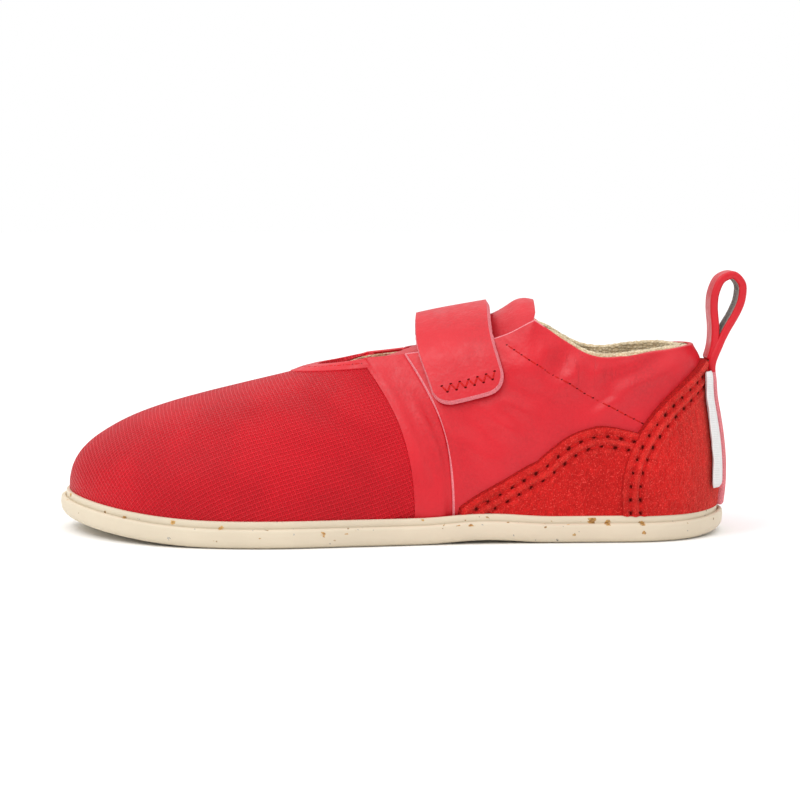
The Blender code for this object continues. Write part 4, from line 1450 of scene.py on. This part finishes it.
class SHOE_OT_suede(bpy.types.Operator):
    """Suede heel counter and the two side wings"""
    bl_idname = "shoe.suede"
    bl_label = "Suede panels"

    def execute(self, context):
        f, s = finishes(), context.scene.shoe_sizes
        turn = np.linspace(-1.0, 1.0, 301)
        rho = stretches((0.02, 0.79, 22), (0.80, 0.976, 22), (0.98, 1.0, 7))
        item = panel("suede_counter", turn, rho, counter_place, [f["suede"], f["suede_edge"]],
                     s.counter, 0.0, rim=1, lean=0.8)
        dress(item, "red_suede", "heel_counter")
        distance = np.linspace(OVERLAY_ROWS[0].from_heel, OVERLAY_ROWS[-1].from_heel, 141)
        rising = stretches((0.0, 0.66, 14), (0.68, 0.96, 20), (0.97, 1.0, 6))
        for wing in WINGS:
            item = panel(wing.name, distance, rising, overlay_place(wing.side),
                         [f["suede"], f["suede_edge"]], s.suede, 0.0, rim=1, lean=0.7)
            dress(item, "red_suede", wing.node)
        return {"FINISHED"}


class SHOE_OT_heel_band(bpy.types.Operator):
    """Band up the back seam that turns into the pull loop"""
    bl_idname = "shoe.heel_band"
    bl_label = "Heel band and pull loop"

    def execute(self, context):
        f, s = finishes(), context.scene.shoe_sizes
        across = np.linspace(-1.0, 1.0, 17)
        item = panel("heel_band", across, np.linspace(0.0, BAND_RUN[-1], 130), band_place,
                     [f["leather"], f["raw_edge"], f["loop_lining"]], s.band, s.rounding * 2.4, rim=1, inner=2)
        for polygon in item.data.polygons:
            if polygon.material_index == 1 and polygon.center.z > (LABEL_BOTTOM + LABEL_LENGTH) * MM:
                polygon.material_index = 0  # the loop's edges are painted
        dress(item, "red_strip_leather", "heel_strip", "pull_loop")
        return {"FINISHED"}


class SHOE_OT_label(bpy.types.Operator):
    """Bare folded tape beside the heel band"""
    bl_idname = "shoe.label"
    bl_label = "Label tape"

    def execute(self, context):
        f = finishes()
        around = stretches((0.0, 0.38, 8), (0.40, 0.60, 17), (0.62, 1.0, 8))
        share = stretches((0.0, 0.04, 8), (0.06, 0.94, 40), (0.96, 1.0, 8))
        item = grid("label_tape", around, share, label_place, [f["tape"]])
        face_outwards(item)
        apply_modifier(item, "SOLIDIFY", thickness=context.scene.shoe_sizes.tape, offset=0.0, use_even_offset=True)
        smooth_shading(item, 60.0)
        dress(item, "white_tape", "label_tab")
        return {"FINISHED"}


class SHOE_OT_stitches(bpy.types.Operator):
    """Rows of thread and pinholes on suede, quarters, strap and throat, drawn into suede and quarters"""
    bl_idname = "shoe.stitches"
    bl_label = "Stitches"

    def execute(self, context):
        s = context.scene.shoe_sizes
        self.chance = np.random.default_rng(5)
        suede, pitch, thread = self.suede_runs(), s.suede_pitch / MM, s.thread / MM
        for name, runs in suede.items():
            draw_in(bpy.data.objects[name], runs, pitch, depth=0.55, width=0.58)
        runs = [run for group in suede.values() for run in group]
        self.sew("suede", runs, pitch, thread, -0.22, "red_suede")
        top, pitch, fine = self.top_runs(), s.leather_pitch / MM, thread * 0.72
        draw_in(bpy.data.objects["quarters"], top, pitch, depth=0.16, width=0.6)
        self.sew("leather", top + self.throat_runs(), pitch, fine, -0.10, "red_textured_leather")
        self.sew("strap_inner", self.strap_runs(), pitch, fine, -0.10, "red_strap_leather")
        self.zigzag(thread)
        return {"FINISHED"}

    def sew(self, name, runs, pitch, thread, sunk, slot):
        """One row of threads and one of pinholes for each run; the pinholes are dark beads, painted shade in the holes.
        """
        f = finishes()

        def rows(start):
            return (np.concatenate(group) for group in zip(*(along_path(*run, pitch, start) for run in runs)))

        centre, ahead, up = rows(0.0)
        item = joined(name + "_stitches", bead(pitch * 0.84, thread, thread * 0.7), centre + up * sunk, ahead, up,
                      f["thread"], self.chance.uniform(0.85, 1.05, len(centre)))
        dress(item, slot)
        centre, ahead, up = rows(-pitch / 2)
        turn = self.chance.uniform(0.1, 1.0, len(centre))[:, None]
        slit = ahead * np.cos(turn) + np.cross(up, ahead) * np.sin(turn)
        item = joined(name + "_pinholes", bead(thread * 1.5, thread * 0.8, 0.4), centre + up * (sunk - 0.06), slit, up,
                      f["pinhole"], self.chance.uniform(0.7, 1.25, len(centre)))
        dress(item, slot)

    def suede_runs(self):
        """Runs of stitches on each suede panel, at even distances from its edge."""
        turn = np.linspace(-0.985, 0.985, 360)
        edge, pole = points(turn, 1.0), points(turn, 0.02)
        runs = {"suede_counter": [inset_path(counter_place, edge, pole, inset) for inset in (2.0, 4.4)]}
        for wing in WINGS:
            runs[wing.name] = []
            for inset, start in ((2.2, 24.8), (4.6, 26.2)):
                distance = np.linspace(start, 66.5, 200)
                edge, base = points(distance, 1.0), points(distance, 0.0)
                runs[wing.name].append(inset_path(overlay_place(wing.side), edge, base, inset))
        return runs

    def top_runs(self):
        """One row on each quarter, from the counter's edge to the rear of the strap."""
        start = row_at(np.array(22.2), -1)
        start = wall(start, r_at(start, overlay_base(start) + 22.6))
        end = wall(np.array(STRAP_REAR - 0.14), np.array(0.975))
        t = np.linspace(0.0, 1.0, 160)
        line = start + (end - start) * t[:, None]
        row, r = spot_at(line[:, 0], line[:, 2] - 0.9 * np.sin(np.pi * t))
        return [on_panel(skin, points(row * side, r)) for side in (1.0, -1.0)]

    def throat_runs(self):
        row = np.linspace(SADDLE_FRONT + 0.05, ROUND - SADDLE_FRONT - 0.05, 160)
        return [on_panel(binding_place, points(row, 0.45))]

    def strap_runs(self):
        """Two rows across the strap where its inner end is sewn to the quarter."""
        across = np.linspace(-0.44, 0.44, 60)
        return [on_panel(strap_place, points(across, share)) for share in (0.966, 0.936)]

    def zigzag(self, thread):
        """Close zigzag across the strap, a little in from its rounded end."""
        f = finishes()
        across = np.linspace(-0.41, 0.41, 60)
        start, end = strap_ends(across)
        path, ups = on_panel(strap_place, points(across, (start.min() + 4.2 - start) / (end - start)))
        centre, ahead, up = along_path(path, ups, 1.15)
        side = np.cross(up, ahead)
        lean = np.where(np.arange(len(centre)) % 2 == 0, 1.0, -1.0)[:, None]
        slant = unit(ahead * 0.6 + side * lean)
        item = joined("strap_stitches", bead(2.2, thread * 0.8, thread * 0.6), centre, slant, up, f["thread"])
        dress(item, "red_strap_leather")
        # Dark beads at the needle holes: painted shade in the holes.
        holes = np.concatenate([centre[:1] - slant[:1] * 1.05, centre + slant * 1.05])
        first_twice = [0, *range(len(centre))]
        item = joined("strap_pinholes", bead(thread * 1.2, thread * 0.8, 0.24), holes, ahead[first_twice],
                      up[first_twice], f["pinhole"])
        dress(item, "red_strap_leather")


class SHOE_OT_stage(bpy.types.Operator):
    """Pale floor, soft studio light and the camera"""
    bl_idname = "shoe.stage"
    bl_label = "Stage"

    def execute(self, context):
        scene = context.scene
        bpy.ops.object.select_all(action="DESELECT")
        bpy.ops.mesh.primitive_plane_add(size=12.0)
        floor = context.active_object
        floor.name = "studio_floor"
        floor.data.materials.append(studio_floor("studio_floor", scene.shoe_colours.floor))
        floor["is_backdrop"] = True
        self.soft_light(scene)
        for row in LAMPS:
            bpy.ops.object.light_add(type="AREA", location=row.place)
            lamp = context.active_object
            lamp.name = row.name
            lamp.data.energy = row.power
            lamp.data.size = row.size
            aim = LAMP_AIM - np.array(row.place)
            lamp.rotation_euler = (math.atan2(math.hypot(aim[0], aim[1]), -aim[2]), 0.0,
                                   math.atan2(aim[0], -aim[1]) + math.pi)
        low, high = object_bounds()
        centre = (low + high) / 2
        rise = math.radians(CAMERA_RISE)
        distance = scene.shoe_sizes.camera_frame * LENS / SENSOR
        bpy.ops.object.camera_add(
            location=(centre.x, centre.y - distance * math.cos(rise), centre.z + distance * math.sin(rise)),
            rotation=(math.pi / 2 - rise, 0.0, 0.0))
        camera = context.active_object
        camera.data.lens = LENS
        camera.data.sensor_width = SENSOR
        camera.data.clip_start = 0.01
        scene.camera = camera
        scene.view_settings.view_transform = "Standard"
        return {"FINISHED"}

    def soft_light(self, scene):
        """White surroundings, bright overhead and dimmer round the sides; the camera sees plain white."""
        world = bpy.data.worlds.new("studio")
        world.use_nodes = True
        tree = world.node_tree
        background = tree.nodes["Background"]
        background.inputs["Color"].default_value = (1.0, 1.0, 1.0, 1.0)
        direction = tree.nodes.new("ShaderNodeTexCoord").outputs["Generated"]
        split = tree.nodes.new("ShaderNodeSeparateXYZ")
        tree.links.new(direction, split.inputs[0])
        sky = tree.nodes.new("ShaderNodeMapRange")
        for key, value in (("From Min", 0.0), ("From Max", 1.0), ("To Min", 0.40), ("To Max", 1.55)):
            sky.inputs[key].default_value = value
        tree.links.new(split.outputs["Z"], sky.inputs["Value"])
        seen = tree.nodes.new("ShaderNodeLightPath").outputs["Is Camera Ray"]
        choose = tree.nodes.new("ShaderNodeMix")
        tree.links.new(seen, choose.inputs[0])
        tree.links.new(sky.outputs[0], choose.inputs[2])
        choose.inputs[3].default_value = 1.0
        tree.links.new(choose.outputs[0], background.inputs["Strength"])
        scene.world = world


class SHOE_PT_panel(bpy.types.Panel):
    """The shoe's pieces, sizes and colours"""
    bl_idname = "SHOE_PT_panel"
    bl_label = "Soft low shoe"
    bl_space_type = "VIEW_3D"
    bl_region_type = "UI"
    bl_category = "Soft shoe"

    def draw(self, context):
        for operator in OPERATORS:
            self.layout.operator(operator.bl_idname)
        for group in (context.scene.shoe_sizes, context.scene.shoe_colours):
            box = self.layout.box()
            for name in group.__annotations__:
                box.prop(group, name)


OPERATORS = (SHOE_OT_sole, SHOE_OT_upper, SHOE_OT_tongue, SHOE_OT_strap, SHOE_OT_suede, SHOE_OT_heel_band,
             SHOE_OT_label, SHOE_OT_stitches, SHOE_OT_stage)
CLASSES = (ShoeSizes, ShoeColours, *OPERATORS, SHOE_PT_panel)


def register():
    for item in CLASSES:
        bpy.utils.register_class(item)
    bpy.types.Scene.shoe_sizes = bpy.props.PointerProperty(type=ShoeSizes)
    bpy.types.Scene.shoe_colours = bpy.props.PointerProperty(type=ShoeColours)


def unregister():
    del bpy.types.Scene.shoe_colours
    del bpy.types.Scene.shoe_sizes
    for item in reversed(CLASSES):
        bpy.utils.unregister_class(item)


def main():
    register()
    for operator in OPERATORS:
        group, name = operator.bl_idname.split(".")
        getattr(getattr(bpy.ops, group), name)()


if __name__ == "__main__":
    main()
